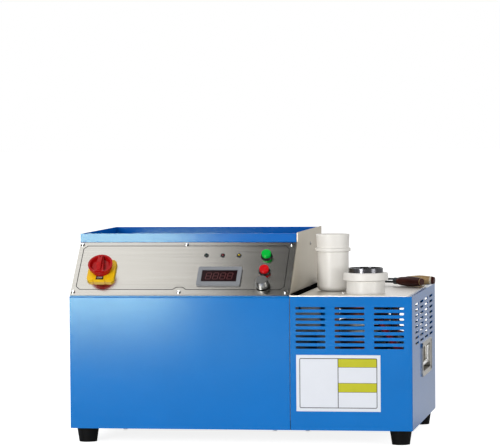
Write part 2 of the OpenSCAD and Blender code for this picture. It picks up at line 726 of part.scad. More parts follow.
meter_in_w = meter_w - 6;
meter_in_h = meter_h - 6;
meter_bezel_t = 3.5;
meter_window_w = meter_w - 15;
meter_window_h = meter_h - 16;
module meter_case() {
  color([0.42, 0.44, 0.47]) in_frame() on_slope(meter_x, meter_s) difference() {
    union() {
      linear_extrude(meter_bezel_t) round_rect_2d(meter_w, meter_h, 3);
      translate([-meter_in_w / 2, -meter_in_h / 2, -meter_depth])
        cube([meter_in_w, meter_in_h, meter_depth]);
    }
    translate([-meter_window_w / 2 - 0.3, -meter_window_h / 2 - 0.3, meter_bezel_t - 2.5])
      cube([meter_window_w + 0.6, meter_window_h + 0.6, 4]);
  }
}
module meter_window() {
  color([0.22, 0.04, 0.05]) in_frame() on_slope(meter_x, meter_s, meter_bezel_t - 2.5)
    translate([-meter_window_w / 2, -meter_window_h / 2, 0]) cube([meter_window_w, meter_window_h, 1.5]);
}

lamp_stem_r = 2.9;
lens_r = 2.4;
module lamp_bezels() {
  color([0.85, 0.86, 0.88]) in_frame() for (k = [0 : 2]) on_slope(lamp_x + k * lamp_pitch, lamp_s)
    difference() {
    union() {
      cylinder(r1 = lamp_d / 2, r2 = lamp_d / 2 - 0.8, h = 1.8);
      translate([0, 0, -18]) cylinder(r = lamp_stem_r, h = 18);
    }
    translate([0, 0, -10]) cylinder(r = lens_r + 0.1, h = 13);
  }
}
module lamp_lens(k) {
  in_frame() on_slope(lamp_x + k * lamp_pitch, lamp_s, -1) {
    translate([0, 0, -9]) cylinder(r = lens_r, h = 10.5);
    translate([0, 0, 1.5]) intersection() {
      sphere(r = lens_r);
      cylinder(r = lens_r + 1, h = lens_r + 1);
    }
  }
}
module green_lamp() { color([0.05, 0.25, 0.12]) lamp_lens(0); }
module red_lamp() { color([0.60, 0.08, 0.08]) lamp_lens(1); }
module yellow_lamp() { color([0.85, 0.75, 0.10]) lamp_lens(2); }

button_collar_r = button_d / 2 + 2.2;
button_collar_t = 3;
button_bush_r = button_d / 2 + 1.2;
button_hole_r = button_d / 2 + lay_gap;
button_low = -1;
plunger_r = 4;
module button_collars() {
  color([0.10, 0.10, 0.11]) in_frame() for (s = [green_s, red_s]) on_slope(button_x, s) difference() {
    cylinder(r1 = button_collar_r, r2 = button_collar_r - 0.8, h = button_collar_t);
    translate([0, 0, -1]) cylinder(r = button_hole_r, h = button_collar_t + 2);
  }
}
// The fixed body behind the panel, with a wide well for the cap and a bore for its plunger
module button_bodies() {
  well = button_low - button_travel - 1;
  color([0.16, 0.16, 0.17]) in_frame() for (s = [green_s, red_s]) on_slope(button_x, s) difference() {
    union() {
      translate([0, 0, -34]) cylinder(r = button_collar_r, h = 34 - panel_t);
      translate([0, 0, -panel_t]) cylinder(r = button_bush_r, h = panel_t);
    }
    translate([0, 0, well]) cylinder(r = button_hole_r, h = 20);
    translate([0, 0, -24]) cylinder(r = plunger_r + run_fit, h = 24);
  }
}
module button_cap() {
  translate([0, 0, button_low]) cylinder(r = button_d / 2, h = button_top - button_low - 1);
  translate([0, 0, button_top - 1]) cylinder(r1 = button_d / 2, r2 = button_d / 2 - 1, h = 1);
  translate([0, 0, -18]) cylinder(r = plunger_r, h = 18);
}
module green_button() { color([0.10, 0.65, 0.28]) in_frame() on_slope(button_x, green_s) button_cap(); }
module red_button() { color([0.80, 0.12, 0.13]) in_frame() on_slope(button_x, red_s) button_cap(); }

pot_bush_r = 4.5;
knob_base = 2.6;
knob_flutes = 20;
module power_knob() {
  color([0.72, 0.73, 0.75]) in_frame() on_slope(button_x, knob_s) {
    translate([0, 0, knob_base]) cylinder(r = knob_d / 2, h = 1.6);
    translate([0, 0, knob_base + 1.6]) difference() {
      cylinder(r1 = knob_d / 2 - 1.6, r2 = knob_d / 2 - 3, h = knob_top - knob_base - 1.6);
      for (k = [0 : knob_flutes - 1]) rotate(k * 360 / knob_flutes) translate([knob_d / 2 - 1.2, 0, -1])
        cylinder(r = 0.7, h = knob_top, $fn = 16);
      translate([-0.5, 3, knob_top - knob_base - 2.2]) cube([1, knob_d / 2, 2]);
    }
    translate([0, 0, -12]) cylinder(r = knob_shaft_d / 2, h = 13 + knob_base);
  }
}
module potentiometer() {
  color([0.45, 0.46, 0.48]) in_frame() on_slope(button_x, knob_s) difference() {
    union() {
      translate([0, 0, -panel_t - 14]) cylinder(r = 12, h = 14);
      translate([0, 0, -panel_t]) cylinder(r = pot_bush_r, h = panel_t + 2);
      cylinder(r = 7.5, h = 1.8, $fn = 6);
    }
    translate([0, 0, -14]) cylinder(r = knob_shaft_d / 2 + run_fit, h = 20);
  }
}

// Blank card on the furnace front

card_x = 399;
card_z = 33;
card_w = 146;
card_h = 97.4;
card_t = 0.4;
module label_card() {
  color([0.95, 0.95, 0.94]) in_frame() translate([card_x, -card_t, z_base + card_z])
    cube([card_w, card_t, card_h]);
}

// Furnace: liner, crucible, coil and the stand under them

module furnace_liner() {
  color([0.93, 0.92, 0.89]) in_frame() translate([mouth_x, mouth_y, 0]) rotate_extrude($fn = 96)
    difference() {
    polygon([[0, liner_z], [liner_d / 2, liner_z], [liner_d / 2, liner_top - liner_flange_t - 2],
      [liner_flange_d / 2, liner_top - liner_flange_t], [liner_flange_d / 2, liner_top - 1.5],
      [liner_flange_d / 2 - 1.5, liner_top], [0, liner_top]]);
    translate([0, liner_z + liner_floor_t]) square([liner_bore_r, liner_top]);
  }
}
module crucible() {
  r = crucible_d / 2;
  bore = r - crucible_wall;
  color([0.20, 0.20, 0.21]) in_frame() translate([mouth_x, mouth_y, 0]) rotate_extrude($fn = 96)
    difference() {
    polygon([[0, crucible_z], [r - 3, crucible_z], [r, crucible_z + 3], [r, crucible_top - 1],
      [r - 1, crucible_top], [0, crucible_top]]);
    polygon([[0, crucible_z + crucible_floor_t], [bore - 5, crucible_z + crucible_floor_t],
      [bore - 2, crucible_z + crucible_floor_t + 3],
      [bore, crucible_top - 8], [r - 2.5, crucible_top - 3], [r - 2.5, crucible_top + 1],
        [0, crucible_top + 1]]);
  }
}

// The coil's middle line: a straight lead, the helix and a straight lead back
coil_arc = [for (k = [0 : coil_turns * coil_steps]) let (a = -90 + k * 360 / coil_steps)
  [mouth_x + coil_r * cos(a), mouth_y + coil_r * sin(a), coil_z + coil_pitch * k / coil_steps]];
coil_path = concat([[lead_x, mouth_y - coil_r, coil_z]], coil_arc,
  [[lead_x, mouth_y + coil_r, coil_top]]);
// Least gap between neighbouring turns, which lie a pitch apart
coil_gap = min([for (k = [0 : coil_steps : len(coil_arc) - coil_steps - 1])
  norm(coil_arc[k + coil_steps] - coil_arc[k])]) - coil_tube_d;
echo(coil_gap = coil_gap);

function unit(v) = v / norm(v);
function tangent(p, i) = unit(p[min(i + 1, len(p) - 1)] - p[max(i - 1, 0)]);
// One ring of points round the path, its first point pushed up
function ring(p, i, r, n) = let (t = tangent(p, i),
  side = unit(cross(t, abs(t[2]) > 0.9 ? [1, 0, 0] : [0, 0, 1])), up = cross(side, t))
  [for (k = [0 : n - 1]) p[i] + r * (cos(k * 360 / n) * up + sin(k * 360 / n) * side)];
// A tube swept along a path, closed with a fan at each end
module swept_tube(p, r, n) {
  rings = len(p);
  points = [for (i = [0 : rings - 1]) each ring(p, i, r, n)];
  walls = [for (i = [0 : rings - 2], k = [0 : n - 1], h = [0, 1])
    let (a = i * n + k, b = i * n + (k + 1) % n)
    h == 0 ? [a, b, a + n] : [b, b + n, a + n]];
  ends = concat([for (k = [1 : n - 2]) [0, k + 1, k]],
    [for (k = [1 : n - 2]) (rings - 1) * n * [1, 1, 1] + [0, k, k + 1]]);
  polyhedron(points, concat(walls, ends));
}
module induction_coil() {
  color([0.72, 0.45, 0.28]) in_frame() swept_tube(coil_path, coil_tube_d / 2, coil_sides);
}

stand_w = 116;
stand_t = 8;
comb_w = 9;
comb_r = coil_r + coil_tube_d / 2 + lay_gap + comb_w / 2;
module coil_stand() {
  leg = stand_w / 2 - 12;
  color([0.50, 0.30, 0.20]) in_frame() translate([mouth_x, mouth_y, 0]) {
    translate([-stand_w / 2, -stand_w / 2, liner_z - stand_t]) cube([stand_w, stand_w, stand_t]);
    for (i = [-1, 1], j = [-1, 1]) translate([i * leg, j * leg, z_pan])
      cylinder(r = 5, h = liner_z - stand_t - z_pan, $fn = 32);
    for (e = [-1, 1]) translate([e * comb_r - comb_w / 2, -comb_w / 2, liner_z])
      cube([comb_w, comb_w, coil_top - liner_z + 4]);
  }
}

// Power unit in the console bay

core_x = 284;
core_w = 80;
core_d = 96;
core_h = 84;
bar_x = core_x + core_w + 2;
module bus_bars() {
  color([0.74, 0.42, 0.24]) in_frame() for (e = [-1, 1]) {
    bar_z = e < 0 ? coil_z : coil_top;
    y = mouth_y + e * coil_r;
    translate([bar_x, y - bar_t / 2, bar_z - bar_w / 2]) cube([lead_x - bar_x, bar_t, bar_w]);
    translate([bar_x, y - bar_t / 2, z_pan + 30]) cube([bar_w, bar_t, bar_z - z_pan - 30]);
  }
}
module matching_transformer() {
  y0 = mouth_y - core_d / 2;
  leg = 20;
  color([0.24, 0.24, 0.26]) in_frame() translate([core_x, y0, z_pan]) {
    difference() {
      cube([core_w, core_d, core_h]);
      for (k = [0, 1]) translate([leg + k * (core_w / 2 - leg / 2), -1, leg])
        cube([core_w / 2 - 1.5 * leg, core_d + 2, core_h - 2 * leg]);
    }
    translate([leg + 1, -8, leg + 1]) difference() {
      cube([core_w - 2 * leg - 2, core_d + 16, core_h - 2 * leg - 2]);
      translate([core_w / 2 - 1.5 * leg - 1, 8, -1]) cube([leg, core_d, core_h]);
    }
  }
}
sink_x = 60;
sink_y = 215;
sink_w = 180;
sink_d = 120;
sink_fin_h = 42;
sink_base_t = 8;
sink_fins = 15;
module heat_sink() {
  color([0.72, 0.73, 0.75]) in_frame() translate([sink_x, sink_y, z_pan]) {
    translate([0, 0, sink_fin_h]) cube([sink_w, sink_d, sink_base_t]);
    for (k = [0 : sink_fins - 1]) translate([k * (sink_w - 2.4) / (sink_fins - 1), 0, 0])
      cube([2.4, sink_d, sink_fin_h]);
    for (k = [0 : 2]) translate([12 + k * 56, 28, sink_fin_h + sink_base_t]) cube([44, 64, 16]);
  }
}
cap_board_x = 60;
cap_board_y = 110;
cap_board_w = 180;
cap_board_d = 70;
cap_board_t = 2;
cap_post_h = 8;
cap_post_in = 8;
cap_pitch = 34;
cap_r = 15;
cap_h = 45;
module capacitor_bank() {
  color([0.15, 0.22, 0.45]) in_frame() translate([cap_board_x, cap_board_y, z_pan]) {
    translate([0, 0, cap_post_h]) cube([cap_board_w, cap_board_d, cap_board_t]);
    for (x = [cap_post_in, cap_board_w - cap_post_in], y = [cap_post_in, cap_board_d - cap_post_in])
      translate([x, y, 0]) cylinder(r = 3, h = cap_post_h, $fn = 24);
    for (i = [-2 : 2], j = [-0.5, 0.5])
      translate([cap_board_w / 2 + i * cap_pitch, cap_board_d / 2 + j * cap_pitch,
        cap_post_h + cap_board_t])
        cylinder(r = cap_r, h = cap_h);
  }
}
board_w = 160;
board_h = 100;
board_t = 1.6;
board_post = 10;
board_post_in = 8;
relay_pitch = 36;
filter_pitch = 42;
module control_board() {
  face = board_post + board_t;
  color([0.10, 0.38, 0.20]) in_frame() translate([70, sheet, z_base + 40]) {
    for (x = [board_post_in, board_w - board_post_in], z = [board_post_in, board_h - board_post_in])
      translate([x, 0, z]) rotate([-90, 0, 0]) cylinder(r = 3, h = board_post, $fn = 24);
    translate([0, board_post, 0]) cube([board_w, board_t, board_h]);
    for (k = [0 : 3]) translate([16 + k * relay_pitch, face, 20]) cube([22, 9, 14]);
    for (k = [0 : 2]) translate([30 + k * filter_pitch, face, 62]) rotate([-90, 0, 0])
      cylinder(r = 7, h = 22, $fn = 32);
  }
}

// Fan behind the rear grille: the frame carries the shaft on four struts

fan_pin_r = 2;
fan_hub_r = 19;
fan_blades = 7;
fan_struts_t = 3;
module at_fan() { in_frame() translate([fan_x, back_y, z_base + fan_z]) rotate([90, 0, 0]) children(); }
module fan_frame() {
  color([0.12, 0.12, 0.13]) at_fan() {
    linear_extrude(fan_t) difference() {
      round_rect_2d(fan_w, fan_w, 5);
      circle(fan_duct_r);
      for (i = [-1, 1], j = [-1, 1]) translate([i * fan_bolt, j * fan_bolt])
        circle(fan_screw_r + screw_gap, $fn = 24);
    }
    translate([0, 0, fan_t - fan_struts_t]) linear_extrude(fan_struts_t) {
      circle(fan_hub_r + 1);
      for (a = [45 : 90 : 315]) rotate(a) translate([fan_hub_r, -2.5])
        square([fan_duct_r - fan_hub_r + 1, 5]);
    }
    translate([0, 0, 5]) cylinder(r = fan_pin_r, h = fan_t - 5, $fn = 48);
  }
}
module fan_rotor() {
  hub_l = fan_t - fan_struts_t - 1 - 3;
  color([0.16, 0.16, 0.17]) at_fan() difference() {
    union() {
      translate([0, 0, 3]) cylinder(r = fan_hub_r, h = hub_l);
      for (k = [0 : fan_blades - 1]) rotate(k * 360 / fan_blades) intersection() {
        translate([fan_hub_r - 3, 0, 3 + hub_l / 2]) rotate([38, 0, 0]) translate([0, -14, -0.9])
          cube([fan_duct_r - fan_hub_r - 1, 28, 1.8]);
        translate([0, 0, 3.5]) cylinder(r = fan_duct_r - 3, h = hub_l - 1);
      }
    }
    translate([0, 0, 4]) cylinder(r = fan_pin_r + run_fit, h = fan_t, $fn = 48);
  }
}
guard_wire = 2.4;
guard_eye_r = 4.2;
module fan_guard() {
  r = guard_wire / 2;
  stay = fan_bolt * sqrt(2) - (guard_eye_r + fan_screw_r + screw_gap) / 2;
  color([0.75, 0.76, 0.78]) in_frame() translate([fan_x, body_d, z_base + fan_z]) rotate([-90, 0, 0]) {
    for (k = [1 : 4]) translate([0, 0, r]) rotate_extrude() translate([k * (fan_duct_r - 2) / 4, 0])
      circle(r, $fn = 16);
    for (a = [45, 135]) rotate(a) translate([-stay, 0, r]) rotate([0, 90, 0])
      cylinder(r = r - 0.1, h = 2 * stay, $fn = 16);
    for (i = [-1, 1], j = [-1, 1]) translate([i * fan_bolt, j * fan_bolt, 0]) difference() {
      cylinder(r = guard_eye_r, h = guard_wire);
      translate([0, 0, -1]) cylinder(r = fan_screw_r + screw_gap, h = guard_wire + 2, $fn = 24);
    }
  }
}

// Cooling water: a tank and a pump in front of it, a radiator at the back and the red hoses

cooler_gap = 4.5;
radiator_foot = 4;
radiator_in_x = 22;
radiator_z = pan_flange + lay_gap;
radiator_w = 86;
radiator_h = 120;
radiator_t = 24;
radiator_end_h = 12;
radiator_fins = 11;
fin_t = 2;
spout_r = 4.6;
spout_l = 12;
spout_in = 14;
radiator_x = body_w - radiator_in_x - radiator_w;
radiator_y = back_y - radiator_foot - radiator_t;

tank_gap = 14;
tank_w = 74;
tank_d = 130;
tank_h = 150;
tank_x = console_w + tank_gap;
tank_y = radiator_y - cooler_gap - tank_d;
feed_z = 20;
feed_l = 14;
module water_tank() {
  color([0.90, 0.91, 0.92]) in_frame() translate([tank_x + tank_w / 2, tank_y, z_pan]) {
    translate([0, tank_d / 2, 0]) linear_extrude(tank_h) round_rect_2d(tank_w, tank_d, 8);
    translate([0, tank_d / 2, tank_h]) cylinder(r = 18, h = 12);
    translate([0, -feed_l, feed_z]) rotate([-90, 0, 0]) cylinder(r = 6, h = feed_l + 1, $fn = 32);
  }
}
volute_r = 19;
volute_l = 26;
motor_r = 16;
motor_l = 36;
outlet_h = 56;
module water_pump() {
  color([0.22, 0.24, 0.28]) in_frame() translate([tank_x + tank_w / 2, tank_y - feed_l, z_pan]) {
    translate([0, 0, feed_z]) rotate([90, 0, 0]) cylinder(r = volute_r, h = volute_l);
    translate([0, 1 - volute_l, feed_z]) rotate([90, 0, 0]) cylinder(r = motor_r, h = motor_l + 1);
    translate([-14, 1 - volute_l - motor_l, 0]) cube([28, volute_l + motor_l - 5, 6]);
    translate([0, -volute_l / 2, feed_z]) cylinder(r = 5, h = outlet_h - feed_z, $fn = 32);
  }
}
module radiator() {
  fin_step = (radiator_w - 6 - fin_t) / (radiator_fins - 1);
  color([0.50, 0.52, 0.55]) in_frame() translate([radiator_x, radiator_y, z_base + radiator_z]) {
    for (z = [0, radiator_h - radiator_end_h]) translate([0, 0, z])
      cube([radiator_w, radiator_t, radiator_end_h]);
    for (k = [0 : radiator_fins - 1]) translate([3 + k * fin_step, 3, radiator_end_h - 0.5])
      cube([fin_t, radiator_t - 6, radiator_h - 2 * radiator_end_h + 1]);
    for (x = [0, radiator_w - radiator_foot]) translate([x, radiator_t - 0.5, 0])
      cube([radiator_foot, radiator_foot + 0.5, radiator_h]);
    for (z = [radiator_end_h / 2, radiator_h - radiator_end_h / 2])
      translate([radiator_w - spout_in, -spout_l, z])
      rotate([-90, 0, 0]) cylinder(r = spout_r, h = spout_l + 1, $fn = 32);
  }
}
hose_r = 5.5;
hose_sides = 8;
pump_out = [tank_x + tank_w / 2, tank_y - feed_l - volute_l / 2, z_pan + outlet_h];
radiator_in = [radiator_x + radiator_w - spout_in, radiator_y - spout_l,
  z_base + radiator_z + radiator_h - radiator_end_h / 2];
// Routes by hand, in places from the mouth's middle: from the pump round the coil's stand to the
// front of the coil, and from the upper coil lead back to the radiator
function by_mouth(x, y, z) = [mouth_x + x, mouth_y + y, z];
feed_route = [pump_out, pump_out + [0, 0, 12], by_mouth(-56, 118, 108), by_mouth(-20, 104, 116),
  by_mouth(22, 88, 120),
  by_mouth(52, 62, 126), by_mouth(67, 30, 136), by_mouth(69, 4, 148), by_mouth(63, -16, 160),
    by_mouth(54, -28, 171),
  by_mouth(43, -40, 190), by_mouth(34.5, -47, 204), by_mouth(31.5, -45.6, 211.5),
    by_mouth(26.3, -39, 214)];
return_route = [by_mouth(-42, coil_r + coil_tube_d / 2 + lay_gap, coil_top),
  by_mouth(-42, 62, coil_top - 1), by_mouth(-39, 84, 230),
  by_mouth(-30, 122, 206), by_mouth(-6, 172, 184), radiator_in + [-18, -44, 14],
    radiator_in + [0, -14, 0], radiator_in];
module coolant_hoses() {
  color([0.70, 0.14, 0.12]) in_frame() {
    swept_tube(feed_route, hose_r, hose_sides);
    swept_tube(return_route, hose_r, hose_sides);
  }
}

module cable_gland() {
  color([0.09, 0.09, 0.10]) in_frame() translate([gland_x, body_d, z_base + gland_z]) rotate([-90, 0, 0])
    difference() {
    union() {
      cylinder(r = gland_thread_r + 3, h = 5, $fn = 6);
      cylinder(r = gland_thread_r + 0.6, h = gland_out - 6);
      translate([0, 0, gland_out - 12]) cylinder(r1 = gland_thread_r + 2.4, r2 = gland_bore_d / 2 + 1.6,
        h = 12);
      translate([0, 0, -sheet - 10]) cylinder(r = gland_thread_r, h = sheet + 10);
      translate([0, 0, -sheet - 5]) cylinder(r = gland_thread_r + 3, h = 5, $fn = 6);
    }
    translate([0, 0, -sheet - 20]) cylinder(r = gland_bore_d / 2, h = gland_out + 40);
  }
}

// Spare crucible: a flanged sleeve with a cup nested in it

sleeve_r = sleeve_d / 2;
sleeve_bore_r = sleeve_r - ceramic_wall;
sleeve_z = z_top + lay_gap;
sleeve_top = sleeve_z + sleeve_h;
cup_gap = 0.5;
cup_z = sleeve_top + lay_gap;
cup_low_r = cup_rim_d / 2 - 1.4;
cup_in_r = sleeve_bore_r - cup_gap;
cup_top = cup_z + cup_rise;
module spare_sleeve() {
  color([0.95, 0.94, 0.92]) in_frame() translate([spare_x, spare_y, 0]) rotate_extrude($fn = 96)
    difference() {
    union() {
      polygon(concat([[0, sleeve_z]],
        [for (a = [0 : 15 : 90]) [sleeve_r - 9 + 9 * sin(a), sleeve_z + 9 - 9 * cos(a)]],
        [[sleeve_r, sleeve_top - sleeve_flange_t - 1],
          [sleeve_flange_d / 2, sleeve_top - sleeve_flange_t + 0.5],
        [sleeve_flange_d / 2, sleeve_top - 1], [sleeve_flange_d / 2 - 1, sleeve_top], [0, sleeve_top]]));
    }
    polygon(concat([[0, sleeve_z + ceramic_wall + 1]], [for (a = [0 : 15 : 90])
      [sleeve_bore_r - 7 + 7 * sin(a), sleeve_z + ceramic_wall + 8 - 7 * cos(a)]],
        [[sleeve_bore_r, sleeve_top + 1], [0, sleeve_top + 1]]));
  }
}
module spare_cup() {
  low = cup_z - sleeve_h + ceramic_wall + 12;
  wall = ceramic_wall;
  color([0.97, 0.96, 0.95]) in_frame() translate([spare_x, spare_y, 0]) difference() {
    rotate_extrude($fn = 96) difference() {
      polygon(concat([[0, low]],
        [for (a = [0 : 15 : 90]) [cup_in_r - 7 + 7 * sin(a), low + 7 - 7 * cos(a)]],
        [[cup_in_r, cup_z], [cup_low_r, cup_z], [cup_rim_d / 2, cup_top - 1],
          [cup_rim_d / 2 - 0.8, cup_top], [0, cup_top]]));
      polygon(concat([[0, low + wall]],
        [for (a = [0 : 15 : 90]) [cup_in_r - wall - 5 + 5 * sin(a), low + wall + 5 - 5 * cos(a)]],
        [[cup_in_r - wall, cup_z], [cup_rim_d / 2 - wall, cup_top + 1], [0, cup_top + 1]]));
    }
    rotate(-100) translate([cup_rim_d / 2 - 3.5, 0, cup_top + 2]) rotate([0, 62, 0]) translate([0, 0, -8])
      cylinder(r = 3.2, h = 16, $fn = 24);
  }
}

// Tongs, in their own frame: the pivot at the origin, the grips towards +X

ferrule_l = 8;
ferrule_r = 6;
tang_r = 2.5;
tang_l = 30;
rivet_r = 2.5;
boss_r = 9;
shank_w = 9;
jaw_reach = 46;
jaw_wall = 3.5;
jaw_h = 17;
module at_tongs() { in_frame() translate([tong_x, tong_y, grip_z]) rotate(tong_turn) children(); }
// One arm. Its grip lies at angle tong_half on the side given by e, its jaw on the other side.
// layer is the height of the steel's underside from the grips' axis.
module tong_arm(e, layer, bore) {
  near = 40;
  far = 150;
  spread = tong_half - tong_closed;
  from = [-jaw_reach + (jaw_r + jaw_wall / 2) * cos(near), -e * (jaw_r + jaw_wall / 2) * sin(near)];
  difference() {
    union() {
      rotate(e * tong_half) {
        translate([0, -shank_w / 2, layer]) cube([grip_from - ferrule_l + 2, shank_w, tong_t]);
        translate([grip_from - ferrule_l, 0, 0]) rotate([0, 90, 0])
          cylinder(r = ferrule_r, h = ferrule_l, $fn = 48);
        translate([grip_from - 1, 0, 0]) rotate([0, 90, 0])
          cylinder(r = tang_r, h = tang_l + 1, $fn = 32);
      }
      translate([0, 0, layer]) cylinder(r = boss_r, h = tong_t);
      rotate(e * spread) {
        translate([0, 0, layer]) rotate(atan2(from[1], from[0])) translate([0, -shank_w / 2, 0])
          cube([norm(from), shank_w, tong_t]);
        translate([-jaw_reach, 0, -grip_d / 2]) jaw(e, near, far);
      }
    }
    translate([0, 0, -grip_d]) cylinder(r = bore, h = 2 * grip_d, $fn = 48);
  }
}
// A strip bent to the jaw's radius, from one angle to the other on the side opposite the grip
module jaw(e, near, far) {
  start = e > 0 ? -far : near;
  rotate(start) rotate_extrude(angle = far - near, $fn = 96) translate([jaw_r, 0])
    square([jaw_wall, jaw_h]);
}
front_layer = -tong_t - layer_gap / 2;
rear_layer = layer_gap / 2;
module tong_front_arm() { color([0.30, 0.30, 0.31]) at_tongs()
  tong_arm(-1, front_layer, rivet_r + run_fit); }
module tong_rear_arm() { color([0.32, 0.32, 0.33]) at_tongs()
  tong_arm(1, rear_layer, rivet_r + run_fit); }
// The rivet is headed under the front arm and over the rear arm
module tong_rivet() {
  head = 1.6;
  color([0.55, 0.55, 0.56]) at_tongs() {
    translate([0, 0, front_layer - head]) cylinder(r = rivet_r + 2.5, h = head);
    translate([0, 0, front_layer - head])
      cylinder(r = rivet_r, h = 2 * tong_t + layer_gap + 2 * head + lay_gap, $fn = 48);
    translate([0, 0, rear_layer + tong_t + lay_gap]) cylinder(r = rivet_r + 2.5, h = head);
  }
}
// A turned wooden grip: full at its front, waisted, with a bore for the tang
grip_steps = 12;
function grip_r(t) = grip_d / 2 * (0.9 - 0.1 * cos(t * 360)) - (t < 0.04 || t > 0.97 ? 1.2 : 0);
module tong_grip(e) {
  rotate(e * tong_half) translate([grip_from, 0, 0]) rotate([0, 90, 0]) difference() {
    rotate_extrude()
      polygon(concat([[0, 0]],
      [for (k = [0 : grip_steps]) [grip_r(k / grip_steps), k * grip_l / grip_steps]], [[0, grip_l]]));
    translate([0, 0, -1]) cylinder(r = tang_r + 0.1, h = tang_l + 2, $fn = 32);
  }
}
module front_grip() { color([0.22, 0.11, 0.08]) at_tongs() tong_grip(-1); }
module rear_grip() { color([0.72, 0.58, 0.38]) at_tongs() tong_grip(1); }

base_pan();
control_shell();
furnace_shell();
rear_panel();
partition();
top_tray();
control_panel();
heat_shield();
furnace_top_plate();
shield_gasket();
rubber_feet();
foot_screws();
panel_screws();
case_screws();
right_handle_dish();
left_handle_dish();
right_bail();
left_bail();
switch_plate();
switch_legend();
switch_body();
switch_knob();
meter_case();
meter_window();
lamp_bezels();
green_lamp();
red_lamp();
yellow_lamp();
button_collars();
button_bodies();
green_button();
red_button();
power_knob();
potentiometer();
label_card();
furnace_liner();
crucible();
induction_coil();
coil_stand();
bus_bars();
matching_transformer();
heat_sink();
capacitor_bank();
control_board();
fan_frame();
fan_rotor();
fan_guard();
radiator();
water_tank();
water_pump();
coolant_hoses();
cable_gland();
spare_sleeve();
spare_cup();
tong_front_arm();
tong_rear_arm();
front_grip();
rear_grip();
tong_rivet();
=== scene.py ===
import math

import bpy
from mathutils import Matrix, Vector


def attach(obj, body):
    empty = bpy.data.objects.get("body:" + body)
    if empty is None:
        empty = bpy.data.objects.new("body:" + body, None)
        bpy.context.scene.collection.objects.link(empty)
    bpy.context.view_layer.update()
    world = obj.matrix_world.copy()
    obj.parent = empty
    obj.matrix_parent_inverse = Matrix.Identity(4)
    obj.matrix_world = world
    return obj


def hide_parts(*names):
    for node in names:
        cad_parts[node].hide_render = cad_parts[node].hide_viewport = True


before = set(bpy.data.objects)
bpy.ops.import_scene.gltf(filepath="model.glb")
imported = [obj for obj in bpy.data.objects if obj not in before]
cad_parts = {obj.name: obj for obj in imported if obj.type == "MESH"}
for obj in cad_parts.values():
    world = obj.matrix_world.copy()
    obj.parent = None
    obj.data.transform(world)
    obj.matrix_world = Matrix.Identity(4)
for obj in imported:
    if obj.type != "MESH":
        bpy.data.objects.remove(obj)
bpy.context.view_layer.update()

MM = 0.001
UP = Vector((0, 0, 1))
RIGHT = Vector((1, 0, 0))


# Places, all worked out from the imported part

def spans(node, place=Matrix.Identity(4)):
    """Lowest and highest corner of a CAD node at rest, in the frame that place gives."""
    turn = place.inverted()
    points = [turn @ v.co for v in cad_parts[node].data.vertices]
    low = Vector([min(p[i] for p in points) for i in range(3)])
    high = Vector([max(p[i] for p in points) for i in range(3)])
    return low, high


def middle(node, place=Matrix.Identity(4)):
    """Middle of a CAD node in the frame that place gives."""
    low, high = spans(node, place)
    return (low + high) / 2


rear_low, rear_high = spans("rear_panel")
front_y = spans("furnace_shell")[0].y
cabinet_low = Vector((rear_low.x, front_y, rear_low.z))
cabinet_high = Vector((rear_high.x, rear_high.y, spans("furnace_shell")[1].z))
tray_low = spans("top_tray")[0]

slope_run = tray_low.y - front_y
slope_rise = tray_low.z - cabinet_high.z
slope_length = math.hypot(slope_run, slope_rise)
slope_up = Vector((0, slope_run, slope_rise)) / slope_length
slope_out = Vector((0, -slope_rise, slope_run)) / slope_length


def axes(x_axis, y_axis, z_axis, origin):
    """The frame with these axes at that origin, as a matrix."""
    turned = Matrix((x_axis, y_axis, z_axis)).transposed().to_4x4()
    return Matrix.Translation(origin) @ turned


# On the slope: X to the right, Y up the slope from its foot, Z outwards
SLOPE = axes(RIGHT, slope_up, slope_out, Vector((cabinet_low.x, front_y, cabinet_high.z)))
# On the front face: X to the right, Y up from the cabinet's underside, Z outwards
FRONT = axes(RIGHT, UP, Vector((0, -1, 0)), cabinet_low)


def on(place, x, y, z=0.0):
    """A frame moved within its own axes."""
    return place @ Matrix.Translation((x, y, z))


# Camera

CAMERA_FROM_CORNER = Vector((1.125457, -4.937440, 0.543596))
CAMERA_YAW = -0.16166
CAMERA_PITCH = 0.03727
CAMERA_ROLL = 0.00791
CAMERA_LENS = 208.99
SENSOR = 36.0


def make_camera():
    """The camera at the photograph's place, from the cabinet's lower front left corner."""
    forward = Vector((
        math.sin(CAMERA_YAW) * math.cos(CAMERA_PITCH),
        math.cos(CAMERA_YAW) * math.cos(CAMERA_PITCH),
        -math.sin(CAMERA_PITCH),
    ))
    right = Vector((math.cos(CAMERA_YAW), -math.sin(CAMERA_YAW), 0))
    down = forward.cross(right)
    turned_right = math.cos(CAMERA_ROLL) * right + math.sin(CAMERA_ROLL) * down
    turned_down = -math.sin(CAMERA_ROLL) * right + math.cos(CAMERA_ROLL) * down
    data = bpy.data.cameras.new("camera")
    data.lens = CAMERA_LENS
    data.sensor_width = SENSOR
    data.clip_end = 100
    camera = bpy.data.objects.new("camera", data)
    bpy.context.scene.collection.objects.link(camera)
    origin = cabinet_low + CAMERA_FROM_CORNER
    camera.matrix_world = axes(turned_right, -turned_down, -forward, origin)
    bpy.context.scene.camera = camera


make_camera()


# Materials

def srgb(red, green, blue):
    """A colour given as it looks on a screen, from 0 to 255, for a shader."""
    def linear(value):
        share = value / 255
        return share / 12.92 if share <= 0.04045 else ((share + 0.055) / 1.055) ** 2.4
    return (linear(red), linear(green), linear(blue), 1.0)


WHITE = (1, 1, 1, 1)
# The colour sockets of a Mix node: its two inputs and its output
MIX_A, MIX_B, MIX_OUT = 6, 7, 2


def add_node(tree, kind, sockets=None, **settings):
    """A node with its settings, and with a value or a link at each socket named."""
    made = tree.nodes.new(kind)
    for name, value in settings.items():
        setattr(made, name, value)
    for name, value in (sockets or {}).items():
        if isinstance(value, bpy.types.NodeSocket):
            tree.links.new(value, made.inputs[name])
        else:
            made.inputs[name].default_value = value
    return made


